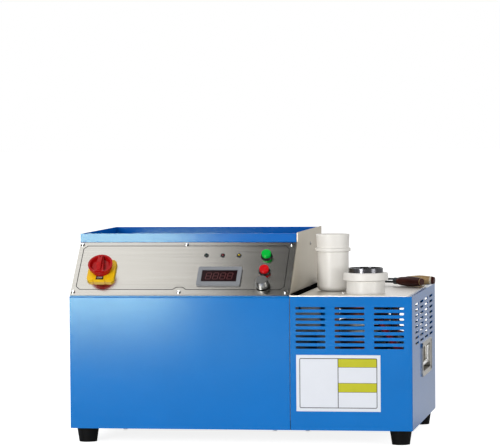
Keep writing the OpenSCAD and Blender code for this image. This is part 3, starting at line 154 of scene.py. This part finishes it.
def add_ramp(tree, factor, stops):
    """A value turned to a colour through stops, each a place and a colour."""
    made = add_node(tree, "ShaderNodeValToRGB", {"Fac": factor})
    elements = made.color_ramp.elements
    while len(elements) < len(stops):
        elements.new(0.5)
    for element, (at, colour) in zip(elements, stops):
        element.position = at
        element.color = colour
    return made.outputs["Color"]


def add_mix(tree, share, first, second, blend="MIX"):
    """Two colours mixed by a share, each of the three given as a value or as a socket."""
    sockets = {0: share, MIX_A: first, MIX_B: second}
    made = add_node(tree, "ShaderNodeMix", sockets, data_type="RGBA", blend_type=blend)
    return made.outputs[MIX_OUT]


def scaled(colour, share):
    """A colour made darker or lighter by a share, and never over white."""
    return tuple(min(1.0, part * share) for part in colour[:3]) + (1.0,)


class Finish:
    """A procedural material that is built node by node on the object's own coordinates."""

    def __init__(self, name, **sockets):
        self.material = bpy.data.materials.new(name)
        self.material.use_nodes = True
        self.tree = self.material.node_tree
        self.shader = self.tree.nodes["Principled BSDF"]
        self.place = self.node("ShaderNodeTexCoord").outputs["Object"]
        for socket, value in sockets.items():
            self.shader.inputs[socket.replace("_", " ")].default_value = value

    def node(self, kind, sockets=None, **settings):
        return add_node(self.tree, kind, sockets, **settings)

    def stretched(self, scale, place=None):
        """The coordinates multiplied by a scale along each axis."""
        sockets = {"Vector": place or self.place, "Scale": scale}
        return self.node("ShaderNodeMapping", sockets).outputs[0]

    def noise(self, scale, detail=3.0, place=None, roughness=0.5):
        sockets = {
            "Vector": place or self.place, "Scale": scale, "Detail": detail, "Roughness": roughness,
        }
        return self.node("ShaderNodeTexNoise", sockets).outputs["Fac"]

    def ramp(self, factor, stops):
        return add_ramp(self.tree, factor, stops)

    def spread(self, factor, low, high):
        """A value from 0 to 1 turned to one from low to high."""
        made = self.node("ShaderNodeMapRange", {"Value": factor, "To Min": low, "To Max": high})
        return made.outputs["Result"]

    def set(self, socket, value):
        self.tree.links.new(value, self.shader.inputs[socket])

    def bump(self, height, strength, distance, normal=None):
        sockets = {"Height": height, "Strength": strength, "Distance": distance}
        if normal is not None:
            sockets["Normal"] = normal
        made = self.node("ShaderNodeBump", sockets)
        self.set("Normal", made.outputs["Normal"])
        return made.outputs["Normal"]

    def mottled(self, colour, share, scale, detail=4.0):
        """The base colour with a slow change in lightness of that share."""
        stops = [(0.3, scaled(colour, 1 - share)), (0.7, scaled(colour, 1 + share))]
        tone = self.ramp(self.noise(scale, detail), stops)
        self.set("Base Color", tone)


def paint(name, colour, roughness=0.12):
    """Sprayed enamel with a fine orange peel and a clear, glossy top."""
    made = Finish(name, Specular_IOR_Level=0.38, Specular_Tint=(0.7, 1.0, 0.7, 1.0))
    made.mottled(colour, 0.03, 14)
    made.set("Roughness", made.spread(made.noise(90, 4), roughness - 0.03, roughness + 0.04))
    fine = made.bump(made.noise(1100, 2), 0.05, 0.0002)
    made.bump(made.noise(160, 2), 0.1, 0.0004, fine)
    return made.material


# Which axis the lines of brushed metal follow
ALONG_X, ALONG_Z = 0, 2


def brushed(
    name, colour, along, roughness=0.3, lines=0.1, anisotropy=0.0, turn=0.0, smudge=0.06,
):
    """Brushed sheet metal, with its lines along one axis and faint smudges."""
    made = Finish(name, Metallic=1.0, Anisotropic=anisotropy, Anisotropic_Rotation=turn)
    fine = [1500.0, 1500.0, 1500.0]
    fine[along] = 5.0
    streaks = made.noise(1.0, 2, made.stretched(fine))
    coarse = [220.0, 220.0, 220.0]
    coarse[along] = 3.0
    bands = made.noise(1.0, 2, made.stretched(coarse))
    made.set("Base Color", made.ramp(streaks, [(0.3, scaled(colour, 1 - lines)), (0.65, colour)]))
    soft = made.spread(made.noise(9, 3), roughness - smudge, roughness + smudge)
    uneven = {0: soft, 1: made.spread(bands, -0.04, 0.04)}
    made.set("Roughness", made.node("ShaderNodeMath", uneven, operation="ADD").outputs[0])
    made.bump(streaks, 0.12, 0.0001)
    if anisotropy:
        tangent = made.node("ShaderNodeTangent", direction_type="RADIAL", axis="XYZ"[along])
        made.set("Tangent", tangent.outputs[0])
    return made.material


def metal(name, colour, roughness, grain=400, dents=0.05):
    """Plain metal with a fine grain and slow changes in its gloss."""
    made = Finish(name, Metallic=1.0)
    made.mottled(colour, 0.06, 60)
    made.set("Roughness", made.spread(made.noise(40, 4), roughness * 0.75, roughness * 1.25))
    made.bump(made.noise(grain, 3), dents, 0.0002)
    return made.material


def plastic(name, colour, roughness=0.35, grain=1400, depth=0.1, share=0.04, gloss=0.35):
    """Moulded plastic with a fine moulded texture."""
    made = Finish(name, Specular_IOR_Level=gloss)
    made.mottled(colour, share, 45)
    made.set("Roughness", made.spread(made.noise(120, 3), roughness - 0.05, roughness + 0.06))
    made.bump(made.noise(grain, 2), depth, 0.0002)
    return made.material


def ceramic(name, colour, roughness=0.42):
    """Fired white ceramic: faintly speckled, with slow waves in its surface."""
    made = Finish(name, Specular_IOR_Level=0.4, Coat_Weight=0.15, Coat_Roughness=0.25)
    warm = tuple(c * f for c, f in zip(colour[:3], (0.97, 0.95, 0.91))) + (1.0,)
    specks = made.ramp(made.noise(700, 3), [(0.27, warm), (0.4, colour)])
    made.set("Base Color", specks)
    made.set("Roughness", made.spread(made.noise(70, 4), roughness - 0.06, roughness + 0.08))
    slow = made.bump(made.noise(55, 2), 0.18, 0.0006)
    made.bump(made.noise(900, 3), 0.14, 0.0002, slow)
    return made.material


def lens(name, colour):
    """A small tinted lamp lens."""
    made = Finish(name, Roughness=0.08, Transmission_Weight=0.35, IOR=1.49, Coat_Weight=0.4)
    made.mottled(colour, 0.08, 300)
    made.bump(made.noise(800, 1), 0.04, 0.0001)
    return made.material


def lit(name, colour, light, strength):
    """A dimly lit surface, such as the digits of a display."""
    made = Finish(name, Roughness=0.3, Emission_Color=light, Emission_Strength=strength)
    made.mottled(colour, 0.2, 700)
    return made.material


# How far from the very end a vertex still counts as the end of a grip
END_DEPTH = 1.5 * MM


def axis_ends(node):
    """The two ends of a long node's axis, each the middle of the vertices that lie there."""
    points = [v.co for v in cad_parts[node].data.vertices]
    centre = sum(points, Vector()) / len(points)
    far = max(points, key=lambda p: (p - centre).length)
    along = (far - centre).normalized()
    flat = Vector((along.x, along.y, 0)).normalized()
    reach = [(p - centre).dot(flat) for p in points]
    ends = []
    for limit in (min(reach), max(reach)):
        near = [p for p, r in zip(points, reach) if abs(r - limit) < END_DEPTH]
        ends.append(sum(near, Vector()) / len(near))
    return sorted(ends, key=lambda p: p.x)


def turned_wood(name, grip, stops):
    """Lacquered wood, with bands of colour and its grain along the grip's axis."""
    start, end = axis_ends(grip)
    along = (end - start).normalized()
    turn = axes(along, UP.cross(along), UP, start).inverted()
    made = Finish(name, Coat_Weight=0.06, Coat_Roughness=0.2, Specular_IOR_Level=0.2)
    local = made.node("ShaderNodeMapping", {
        "Vector": made.place,
        "Location": turn.to_translation(),
        "Rotation": turn.to_euler("XYZ"),
    }).outputs[0]
    parts = made.node("ShaderNodeSeparateXYZ", {"Vector": local})
    from_start = {0: parts.outputs["X"], 1: (end - start).length}
    share = made.node("ShaderNodeMath", from_start, operation="DIVIDE").outputs[0]
    grain = made.noise(1.0, 5, made.stretched((60, 900, 900), local), 0.65)
    dark = made.ramp(grain, [(0.32, (0.5, 0.44, 0.4, 1)), (0.62, WHITE)])
    made.set("Base Color", add_mix(made.tree, 1.0, made.ramp(share, stops), dark, "MULTIPLY"))
    made.set("Roughness", made.spread(grain, 0.26, 0.42))
    made.bump(grain, 0.15, 0.0003)
    return made.material


blue_paint = paint("blue_paint", srgb(0, 108, 189))
# The tray's paint is the same blue made deeper: painted shade for the tray, which sits in shadow.
tray_paint = paint("tray_paint", srgb(0, 94, 182))
pan_paint = paint("pan_paint", srgb(46, 60, 78), 0.35)
panel_steel = brushed(
    "panel_steel", srgb(207, 204, 197), ALONG_X, 0.2, anisotropy=0.8, turn=0.25, smudge=0.02,
)
shield_steel = brushed("shield_steel", srgb(214, 206, 190), ALONG_Z, 0.46, lines=0.08)
deck_steel = brushed("deck_steel", srgb(224, 219, 211), ALONG_X, lines=0.06)
dish_steel = brushed("dish_steel", srgb(205, 202, 194), ALONG_Z, lines=0.08)
zinc = metal("zinc_sheet", srgb(150, 154, 158), 0.42, grain=90, dents=0.1)
polished = metal("polished_steel", srgb(222, 222, 220), 0.16)
black_rubber = plastic(
    "black_rubber", srgb(6, 6, 7), 0.6, grain=600, depth=0.3, share=0.1, gloss=0.15,
)
bezel_steel = metal("bezel_steel", srgb(96, 96, 98), 0.16, grain=300)
# Pure black with no gloss: a painted shadow for the dark gap under the heat shield's foot, laid on
# the part named shield_gasket.
gap_shadow_black = plastic(
    "gap_shadow_black", srgb(7, 7, 7), 0.85, grain=600, depth=0.3, share=0.1, gloss=0.0,
)
black_plastic = plastic("black_plastic", srgb(18, 18, 20), 0.36)
yellow_plastic = plastic("yellow_plastic", srgb(236, 190, 20), 0.34, gloss=0.2)
red_plastic = plastic("red_plastic", srgb(168, 12, 14), 0.28, gloss=0.16)
green_cap = plastic("green_plastic", srgb(0, 178, 58), 0.26, gloss=0.14)
red_cap = plastic("red_cap", srgb(200, 14, 22), 0.26, gloss=0.14)
grey_plastic = plastic("grey_plastic", srgb(128, 131, 136), 0.4)
window_glass = plastic(
    "window_glass", srgb(34, 15, 18), 0.14, grain=500, depth=0.02, gloss=0.1,
)
white_card = plastic("white_card", srgb(217, 220, 226), 0.45, 900, depth=0.05, share=0.01)
white_ceramic = ceramic("white_ceramic", srgb(234, 231, 225))
graphite = metal("graphite", srgb(98, 98, 101), 0.22, grain=300, dents=0.04)
spun_aluminium = metal("spun_aluminium", srgb(176, 177, 176), 0.3)
copper = metal("copper", srgb(112, 66, 46), 0.42)
board_brown = plastic("board_brown", srgb(124, 78, 52), 0.5)
ferrite = plastic("ferrite", srgb(58, 58, 62), 0.55)
circuit_green = plastic("circuit_green", srgb(24, 92, 52), 0.4)
capacitor_blue = plastic("capacitor_blue", srgb(38, 60, 122), 0.35)
tank_plastic = plastic("tank_plastic", srgb(224, 228, 230), 0.4)
hose_red = plastic("hose_red", srgb(176, 34, 30), 0.34)
tong_steel = metal("tong_steel", srgb(74, 78, 82), 0.42, grain=200, dents=0.15)
black_ink = plastic("black_ink", srgb(30, 29, 28), 0.5, 900, depth=0.03)
white_ink = plastic("white_ink", srgb(232, 228, 220), 0.5, 900, depth=0.03)
yellow_ink = plastic("yellow_ink", srgb(186, 184, 10), 0.5, 900, depth=0.03)
green_lens = lens("green_lens", srgb(14, 48, 26))
red_lens = lens("red_lens", srgb(120, 20, 20))
yellow_lens = lens("yellow_lens", srgb(190, 166, 20))
digit_red = lit("digit_red", srgb(74, 20, 24), srgb(160, 20, 20), 0.02)

DARK_WOOD = srgb(70, 27, 20)
TAN_WOOD = srgb(194, 164, 118)
CREAM = srgb(236, 226, 204)
# The front grip is dark all along; its thin tan band near the far end is a painted highlight on the
# rim of its end.
front_wood = turned_wood("front_wood", "front_grip", [
    (0.0, DARK_WOOD), (0.95, DARK_WOOD), (0.96, TAN_WOOD), (0.97, TAN_WOOD), (0.98, DARK_WOOD),
])
rear_wood = turned_wood("rear_wood", "rear_grip", [
    (0.0, TAN_WOOD), (0.84, TAN_WOOD), (0.86, CREAM), (0.9, CREAM), (0.92, DARK_WOOD),
])

NODE_FINISHES = {
    "base_pan": pan_paint, "control_shell": blue_paint, "furnace_shell": blue_paint,
    "rear_panel": blue_paint, "partition": zinc, "top_tray": tray_paint,
    "control_panel": panel_steel, "heat_shield": shield_steel, "furnace_top_plate": deck_steel,
    "shield_gasket": gap_shadow_black, "rubber_feet": black_rubber, "foot_screws": polished,
    "panel_screws": polished, "case_screws": polished, "right_handle_dish": dish_steel,
    "left_handle_dish": dish_steel, "right_bail": polished, "left_bail": polished,
    "switch_plate": yellow_plastic, "switch_legend": black_plastic, "switch_body": black_plastic,
    "switch_knob": red_plastic, "meter_case": grey_plastic, "meter_window": window_glass,
    "lamp_bezels": bezel_steel, "green_lamp": green_lens, "red_lamp": red_lens,
    "yellow_lamp": yellow_lens, "button_collars": black_plastic, "button_bodies": black_plastic,
    "green_button": green_cap, "red_button": red_cap, "power_knob": spun_aluminium,
    "potentiometer": zinc, "label_card": white_card, "furnace_liner": white_ceramic,
    "crucible": graphite, "induction_coil": copper, "coil_stand": board_brown, "bus_bars": copper,
    "matching_transformer": ferrite, "heat_sink": spun_aluminium,
    "capacitor_bank": capacitor_blue, "control_board": circuit_green, "fan_frame": black_plastic,
    "fan_rotor": black_plastic, "fan_guard": polished, "radiator": zinc,
    "water_tank": tank_plastic, "water_pump": black_plastic, "coolant_hoses": hose_red,
    "cable_gland": black_plastic, "spare_sleeve": white_ceramic, "spare_cup": white_ceramic,
    "tong_front_arm": tong_steel, "tong_rear_arm": tong_steel, "front_grip": front_wood,
    "rear_grip": rear_wood, "tong_rivet": polished,
}

for name, finish in NODE_FINISHES.items():
    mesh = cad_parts[name].data
    mesh.materials.clear()
    mesh.materials.append(finish)


# Pieces

def piece(name, mesh, finish, body, stands_for=()):
    """A new piece in the row frame that rides on a body."""
    made = bpy.data.objects.new(name, mesh)
    bpy.context.scene.collection.objects.link(made)
    mesh.materials.clear()
    mesh.materials.append(finish)
    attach(made, body)
    if stands_for:
        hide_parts(*stands_for)
    return made


def slab(name, outlines, thick, place, finish, body):
    """Flat shapes of one thickness on a frame's XY plane, each a list of points, as one mesh."""
    points, faces = [], []
    for outline in outlines:
        base, count = len(points), len(outline)
        for height in (0.0, thick):
            points += [place @ Vector((x, y, height)) for x, y in outline]
        faces.append([base + count + i for i in range(count)])
        faces.append([base + i for i in reversed(range(count))])
        for i in range(count):
            after = (i + 1) % count
            faces.append([base + i, base + after, base + count + after, base + count + i])
    mesh = bpy.data.meshes.new(name)
    mesh.from_pydata(points, [], faces)
    mesh.validate()
    return piece(name, mesh, finish, body)


def line_band(path, width):
    """A closed line of that width, one four-sided shape a stretch, mitred at the corners."""
    count = len(path)
    sides = []
    for i in range(count):
        before = (Vector(path[i]) - Vector(path[i - 1])).normalized()
        after = (Vector(path[(i + 1) % count]) - Vector(path[i])).normalized()
        normal = Vector((-before.y - after.y, before.x + after.x)).normalized()
        reach = width / 2 / max(0.4, normal.dot(Vector((-before.y, before.x))))
        sides.append((Vector(path[i]) - normal * reach, Vector(path[i]) + normal * reach))
    shapes = []
    for i in range(count):
        (a, b), (c, d) = sides[i], sides[(i + 1) % count]
        shapes.append([tuple(a), tuple(c), tuple(d), tuple(b)])
    return shapes


def box(x0, y0, x1, y1):
    """A rectangle as an outline."""
    return [(x0, y0), (x1, y0), (x1, y1), (x0, y1)]


def letters(name, text, size, thick, place, finish, body):
    """Plain generic lettering, centred at a frame's origin, as a thin mesh."""
    data = bpy.data.curves.new(name, "FONT")
    data.body = text
    data.size = size
    data.align_x = "CENTER"
    data.align_y = "CENTER"
    data.extrude = thick / 2
    made = bpy.data.objects.new(name + "_text", data)
    bpy.context.scene.collection.objects.link(made)
    bpy.context.view_layer.update()
    evaluated = made.evaluated_get(bpy.context.evaluated_depsgraph_get())
    mesh = bpy.data.meshes.new_from_object(evaluated)
    bpy.data.objects.remove(made)
    mesh.transform(place @ Matrix.Translation((0, 0, thick / 2)))
    mesh.name = name
    return piece(name, mesh, finish, body)


def smooth_path(points, steps):
    """Points on one smooth curve through the points given."""
    ends = [2 * points[0] - points[1], *points, 2 * points[-1] - points[-2]]
    path = []
    for a, b, c, d in zip(ends, ends[1:], ends[2:], ends[3:]):
        for k in range(steps):
            t = k / steps
            bend = (c - a) * t
            bend = bend + (2 * a - 5 * b + 4 * c - d) * t**2 + (3 * b - a - 3 * c + d) * t**3
            path.append(b + bend / 2)
    return [*path, points[-1]]


def tube_parts(path, radius, sides):
    """Vertices and faces of a closed tube along a path, its section carried on untwisted."""
    points, faces = [], []
    normal = None
    for i, at in enumerate(path):
        along = (path[min(i + 1, len(path) - 1)] - path[max(i - 1, 0)]).normalized()
        if normal is None:
            normal = along.orthogonal()
        normal = (normal - along * normal.dot(along)).normalized()
        across = along.cross(normal)
        for k in range(sides):
            angle = 2 * math.pi * k / sides
            points.append(at + radius * (math.cos(angle) * normal + math.sin(angle) * across))
    last = (len(path) - 1) * sides
    for ring in range(0, last, sides):
        for k in range(sides):
            after = (k + 1) % sides
            faces.append([ring + k, ring + after, ring + sides + after, ring + sides + k])
    faces.append(list(reversed(range(sides))))
    faces.append([last + k for k in range(sides)])
    return points, faces


def tubes(name, paths, radius, sides, finish, body, stands_for=()):
    """Round tubes along several paths, as one smooth-shaded mesh."""
    points, faces = [], []
    for path in paths:
        more, rings = tube_parts(path, radius, sides)
        faces += [[len(points) + i for i in ring] for ring in rings]
        points += more
    mesh = bpy.data.meshes.new(name)
    mesh.from_pydata(points, [], faces)
    for face in mesh.polygons:
        face.use_smooth = len(face.vertices) == 4
    return piece(name, mesh, finish, body, stands_for)


mouth = middle("furnace_liner")

COIL_TUBE_R = 4 * MM
COIL_TURNS = 7.5
COIL_STEPS = 48  # points for each turn


def coil():
    """The water-cooled coil, wound round the crucible from its lower lead to its upper one."""
    low, high = spans("induction_coil")
    radius = high.x - mouth.x - COIL_TUBE_R
    bottom, top = low.z + COIL_TUBE_R, high.z - COIL_TUBE_R
    path = [Vector((low.x, mouth.y - radius, bottom))]
    for k in range(int(COIL_TURNS * COIL_STEPS) + 1):
        angle = math.radians(-90) + 2 * math.pi * k / COIL_STEPS
        x, y = mouth.x + radius * math.cos(angle), mouth.y + radius * math.sin(angle)
        path.append(Vector((x, y, bottom + (top - bottom) * k / (COIL_TURNS * COIL_STEPS))))
    path.append(Vector((low.x, mouth.y + radius, top)))
    tubes("wound_coil", [path], COIL_TUBE_R, 14, copper, "cabinet", ("induction_coil",))


# The hoses' routes in mm, as in the solids: X and Y from the mouth's middle, Z from the floor
HOSE_R = 5.5 * MM
FEED_ROUTE = [
    (-72, 131, 83.5), (-72, 131, 95.5), (-56, 118, 108), (-20, 104, 116), (22, 88, 120),
    (52, 62, 126), (67, 30, 136), (69, 4, 148), (63, -16, 160), (54, -28, 171), (43, -40, 190),
    (34.5, -47, 204), (31.5, -45.6, 211.5), (26.3, -39, 214),
]
RETURN_ROUTE = [
    (-42, 46.8, 242.5), (-42, 62, 241.5), (-39, 84, 230), (-30, 122, 206), (-6, 172, 184),
    (35, 236.5, 170.3), (53, 266.5, 156.3), (53, 280.5, 156.3),
]
CLAMP_FROM_END = 5 * MM
CLAMP_WIDE = 6 * MM
CLAMP_THICK = 0.7 * MM
ROUTE_STEPS = 8  # points for each stretch of a route


def hoses():
    """The two red hoses, with a steel clamp band near each end."""
    paths = []
    for route in (FEED_ROUTE, RETURN_ROUTE):
        places = [Vector((mouth.x + x * MM, mouth.y + y * MM, z * MM)) for x, y, z in route]
        paths.append(smooth_path(places, ROUTE_STEPS))
    tubes("red_hoses", paths, HOSE_R, 20, hose_red, "cabinet", ("coolant_hoses",))
    bands = []
    for path in paths:
        for end, after in ((path[0], path[4]), (path[-1], path[-5])):
            along = (after - end).normalized()
            start = end + along * CLAMP_FROM_END
            bands.append([start, start + along * CLAMP_WIDE])
    tubes("hose_clamps", bands, HOSE_R + CLAMP_THICK, 32, polished, "cabinet")


# How far printed and engraved marks stand off their face
INK = 0.08 * MM
MARK_SIZE = 4.2 * MM
MARK_GAP = 3.4 * MM
BORDER_LINE = 1.3 * MM
BORDER_FOOT, BORDER_TOP = 16 * MM, 120.5 * MM
BORDER_FROM_LEFT, BORDER_FROM_RIGHT = 8 * MM, 11 * MM
BORDER_CORNER = 7 * MM
BORDER_STEP, BORDER_STEP_HALF = 5.5 * MM, 6 * MM


def panel_border():
    """The engraved line round the control panel, with cut corners and a step past a screw."""
    panel_low, panel_high = spans("control_panel", SLOPE)
    screw = middle("panel_screws", SLOPE).x
    left, right = panel_low.x + BORDER_FROM_LEFT, panel_high.x - BORDER_FROM_RIGHT
    low, high = BORDER_FOOT, BORDER_TOP
    cut, step, half = BORDER_CORNER, BORDER_STEP, BORDER_STEP_HALF
    path = [
        (left + cut, low), (screw - half - step, low), (screw - half, low + step),
        (screw + half, low + step), (screw + half + step, low), (right - cut, low),
        (right, low + cut), (right, high - cut), (right - cut, high), (left + cut, high),
        (left, high - cut), (left, low + cut),
    ]
    bands = line_band(path, BORDER_LINE)
    slab("panel_border", bands, INK, SLOPE, black_ink, "cabinet")


def button_marks():
    """Plain ON and OFF over the two buttons."""
    for name, text in (("green_button", "ON"), ("red_button", "OFF")):
        spot = on(SLOPE, middle(name, SLOPE).x, spans(name, SLOPE)[1].y + MARK_GAP)
        letters(name + "_mark", text, MARK_SIZE, INK, spot, black_ink, "cabinet")


# The knob's scale in degrees from the panel's X axis: where it starts and each tick's share
SCALE_START = 225
SCALE_STEP = 27
SCALE_NUMBERED = 5  # every fifth tick is long and has its number
TICK_GAP = 2 * MM
TICK_HALF = 0.3 * MM
TICK_SHORT, TICK_LONG = 2.2 * MM, 3.2 * MM
NUMBER_GAP = 5.8 * MM


def knob_marks():
    """Ticks and the numbers 0, 5 and 10 round the power knob."""
    at = middle("power_knob", SLOPE)
    radius = (spans("power_knob", SLOPE)[1].x - at.x) + TICK_GAP
    ticks, numbers = [], []
    for k in range(11):
        angle = math.radians(SCALE_START - SCALE_STEP * k)
        along = Vector((math.cos(angle), math.sin(angle)))
        side = Vector((-along.y, along.x)) * TICK_HALF
        numbered = k % SCALE_NUMBERED == 0
        near, far = along * radius, along * (radius + (TICK_LONG if numbered else TICK_SHORT))
        ticks.append([tuple(near - side), tuple(far - side), tuple(far + side), tuple(near + side)])
        if numbered:
            numbers.append((k, along * (radius + NUMBER_GAP)))
    place = on(SLOPE, at.x, at.y)
    slab("knob_ticks", ticks, INK, place, black_ink, "cabinet")
    for k, spot in numbers:
        place = on(SLOPE, at.x + spot.x, at.y + spot.y)
        name = f"knob_number_{k}"
        letters(name, str(k), MARK_SIZE, INK, place, black_ink, "cabinet")


LEGEND_SIZE = 5.6 * MM
LEGEND_DROP = 2.4 * MM


def switch_marks():
    """OFF on the switch's black tab."""
    centre, high = middle("switch_legend", SLOPE), spans("switch_legend", SLOPE)[1]
    spot = on(SLOPE, centre.x, centre.y - LEGEND_DROP, high.z)
    letters("switch_mark", "OFF", LEGEND_SIZE, INK, spot, white_ink, "cabinet")


DIGIT_WIDE, DIGIT_TALL = 8.6 * MM, 14.5 * MM
DIGIT_STROKE = 1.5 * MM
DIGIT_INSET = 0.6  # of the stroke's width, left free at both ends of a bar
DIGIT_LEAN = 0.12
DIGIT_PITCH = 12.6 * MM
DIGITS = 4


def digit_bar(x0, y0, x1, y1):
    """One bar of a seven-segment digit, pointed at both ends."""
    along = (Vector((x1, y1)) - Vector((x0, y0))).normalized()
    side = Vector((-along.y, along.x)) * DIGIT_STROKE / 2
    a = Vector((x0, y0)) + along * DIGIT_STROKE * DIGIT_INSET
    b = Vector((x1, y1)) - along * DIGIT_STROKE * DIGIT_INSET
    tip_a, tip_b = a - along * DIGIT_STROKE / 2, b + along * DIGIT_STROKE / 2
    return [tip_a, a - side, b - side, tip_b, b + side, a + side]


def meter_digits():
    """Four dim seven-segment digits on the meter's dark window."""
    centre, high = middle("meter_window", SLOPE), spans("meter_window", SLOPE)[1]
    w, h = DIGIT_WIDE / 2, DIGIT_TALL / 2
    bars = [
        (-w, h, w, h), (w, 0, w, h), (w, -h, w, 0), (-w, -h, w, -h),
        (-w, -h, -w, 0), (-w, 0, -w, h), (-w, 0, w, 0),
    ]
    shapes = []
    for k in range(DIGITS):
        shift = (k - (DIGITS - 1) / 2) * DIGIT_PITCH
        for bar in bars:
            shapes.append([(p.x + DIGIT_LEAN * p.y + shift, p.y) for p in digit_bar(*bar)])
    place = on(SLOPE, centre.x, centre.y, high.z)
    slab("meter_digits", shapes, INK, place, digit_red, "cabinet")


# The card's print, from its lower left corner
CARD_EDGE = 6.2 * MM
CARD_CORNER = 1.5 * MM
CARD_LINE, CARD_FINE_LINE = 1.2 * MM, 0.6 * MM
CARD_DIVIDER = 72.6 * MM
CARD_BANDS = ((76.3 * MM, 91.2 * MM), (33.3 * MM, 49.1 * MM))


def card_print():
    """A thin frame, a divider and plain yellow bands on the blank card."""
    low, high = spans("label_card", FRONT)
    card = on(FRONT, low.x, low.y, high.z)
    left, right = CARD_EDGE, high.x - low.x - CARD_EDGE
    foot, top = CARD_EDGE, high.y - low.y - CARD_EDGE
    cut, half, fine = CARD_CORNER, CARD_LINE / 2, CARD_FINE_LINE / 2
    bands = [box(CARD_DIVIDER, a, right - fine, b) for a, b in CARD_BANDS]
    slab("card_bands", bands, INK, card, yellow_ink, "cabinet")
    lines = line_band([
        (left + cut, foot), (right - cut, foot), (right, foot + cut), (right, top - cut),
        (right - cut, top), (left + cut, top), (left, top - cut), (left, foot + cut),
    ], CARD_LINE)
    lines.append(box(CARD_DIVIDER - half, foot, CARD_DIVIDER + half, top))
    for a, b in CARD_BANDS:
        for y in (a, b):
            lines.append(box(CARD_DIVIDER, y - fine, right, y + fine))
    slab("card_lines", lines, 1.5 * INK, card, black_ink, "cabinet")


coil()
hoses()
panel_border()
button_marks()
knob_marks()
switch_marks()
meter_digits()
card_print()


# Stage

FLOOR_HALF = 40.0
FLOOR_GREY = (0.8, 0.8, 0.8, 1)
FLOOR_GLOW = 0.85  # added for the camera, so that the floor shows white
FLOOR_MIRRORED = 0.12  # the share of that glow which metal and glass show
SKY_GREY = (0.45, 0.45, 0.45, 1)
SKY_DIM = (0.06, 0.06, 0.06, 1)


def make_stage():
    """A wide pale floor that shows white to the camera and keeps the object's shadow."""
    corners = box(-FLOOR_HALF, -FLOOR_HALF, FLOOR_HALF, FLOOR_HALF)
    mesh = bpy.data.meshes.new("floor")
    mesh.from_pydata([(x, y, 0) for x, y in corners], [], [(0, 1, 2, 3)])
    floor = bpy.data.objects.new("floor", mesh)
    bpy.context.scene.collection.objects.link(floor)
    material = bpy.data.materials.new("floor_white")
    material.use_nodes = True
    tree = material.node_tree
    tree.nodes.clear()
    rays = add_node(tree, "ShaderNodeLightPath").outputs
    either = {0: rays["Is Glossy Ray"], 1: rays["Is Transmission Ray"]}
    mirrored = add_node(tree, "ShaderNodeMath", either, operation="MAXIMUM").outputs[0]
    sockets = {0: mirrored, 1: FLOOR_MIRRORED, 2: rays["Is Camera Ray"]}
    shown = add_node(tree, "ShaderNodeMath", sockets, operation="MULTIPLY_ADD").outputs[0]
    sockets = {0: shown, 1: FLOOR_GLOW}
    strength = add_node(tree, "ShaderNodeMath", sockets, operation="MULTIPLY").outputs[0]
    glow = add_node(tree, "ShaderNodeEmission", {"Strength": strength}).outputs[0]
    diffuse = add_node(tree, "ShaderNodeBsdfDiffuse", {"Color": FLOOR_GREY}).outputs[0]
    both = add_node(tree, "ShaderNodeAddShader", {0: diffuse, 1: glow}).outputs[0]
    add_node(tree, "ShaderNodeOutputMaterial", {"Surface": both})
    mesh.materials.append(material)


def area_light(name, at, aim, wide, tall, radiance):
    """A soft box at a place, aimed at a point, with the brightness of its face."""
    data = bpy.data.lights.new(name, "AREA")
    data.shape = "RECTANGLE"
    data.size = wide
    data.size_y = tall
    data.energy = radiance * wide * tall * math.pi
    light = bpy.data.objects.new(name, data)
    bpy.context.scene.collection.objects.link(light)
    light.location = at
    light.rotation_euler = (Vector(aim) - Vector(at)).to_track_quat("-Z", "Y").to_euler()
    light.visible_camera = False


def make_world():
    """White to the camera, grey for light, and in reflections dim overhead and in front."""
    world = bpy.data.worlds.new("studio")
    bpy.context.scene.world = world
    world.use_nodes = True
    tree = world.node_tree
    rays = add_node(tree, "ShaderNodeLightPath").outputs
    direction = add_node(tree, "ShaderNodeTexCoord").outputs["Generated"]
    parts = add_node(tree, "ShaderNodeSeparateXYZ", {0: direction}).outputs
    height = add_ramp(tree, parts["Z"], [(0.45, WHITE), (0.9, SKY_DIM)])
    depth = add_ramp(tree, parts["Y"], [(0.0, SKY_DIM), (0.35, WHITE)])
    mirrored = add_mix(tree, 1.0, height, depth, "MULTIPLY")
    unseen = add_mix(tree, rays["Is Glossy Ray"], SKY_GREY, mirrored)
    shown = add_mix(tree, rays["Is Camera Ray"], unseen, WHITE)
    tree.links.new(shown, tree.nodes["Background"].inputs["Color"])


# Each soft box: its name, place, aim, width, height and the brightness of its face
SOFT_BOXES = (
    ("front_box", (-1.0, -3.0, 0.59), (-0.2, -0.2, 0.25), 0.72, 1.14, 19.0),
    ("right_box", (2.6, -1.5, 0.62), (0.1, 0, 0.25), 1.1, 1.1, 5.5),
    ("panel_box", (-0.66, -0.17, 1.45), (-0.52, -0.17, 0.3), 1.3, 0.81, 1.27),
)

make_stage()
make_world()
for soft_box in SOFT_BOXES:
    area_light(*soft_box)

bpy.context.scene.view_settings.view_transform = "Standard"
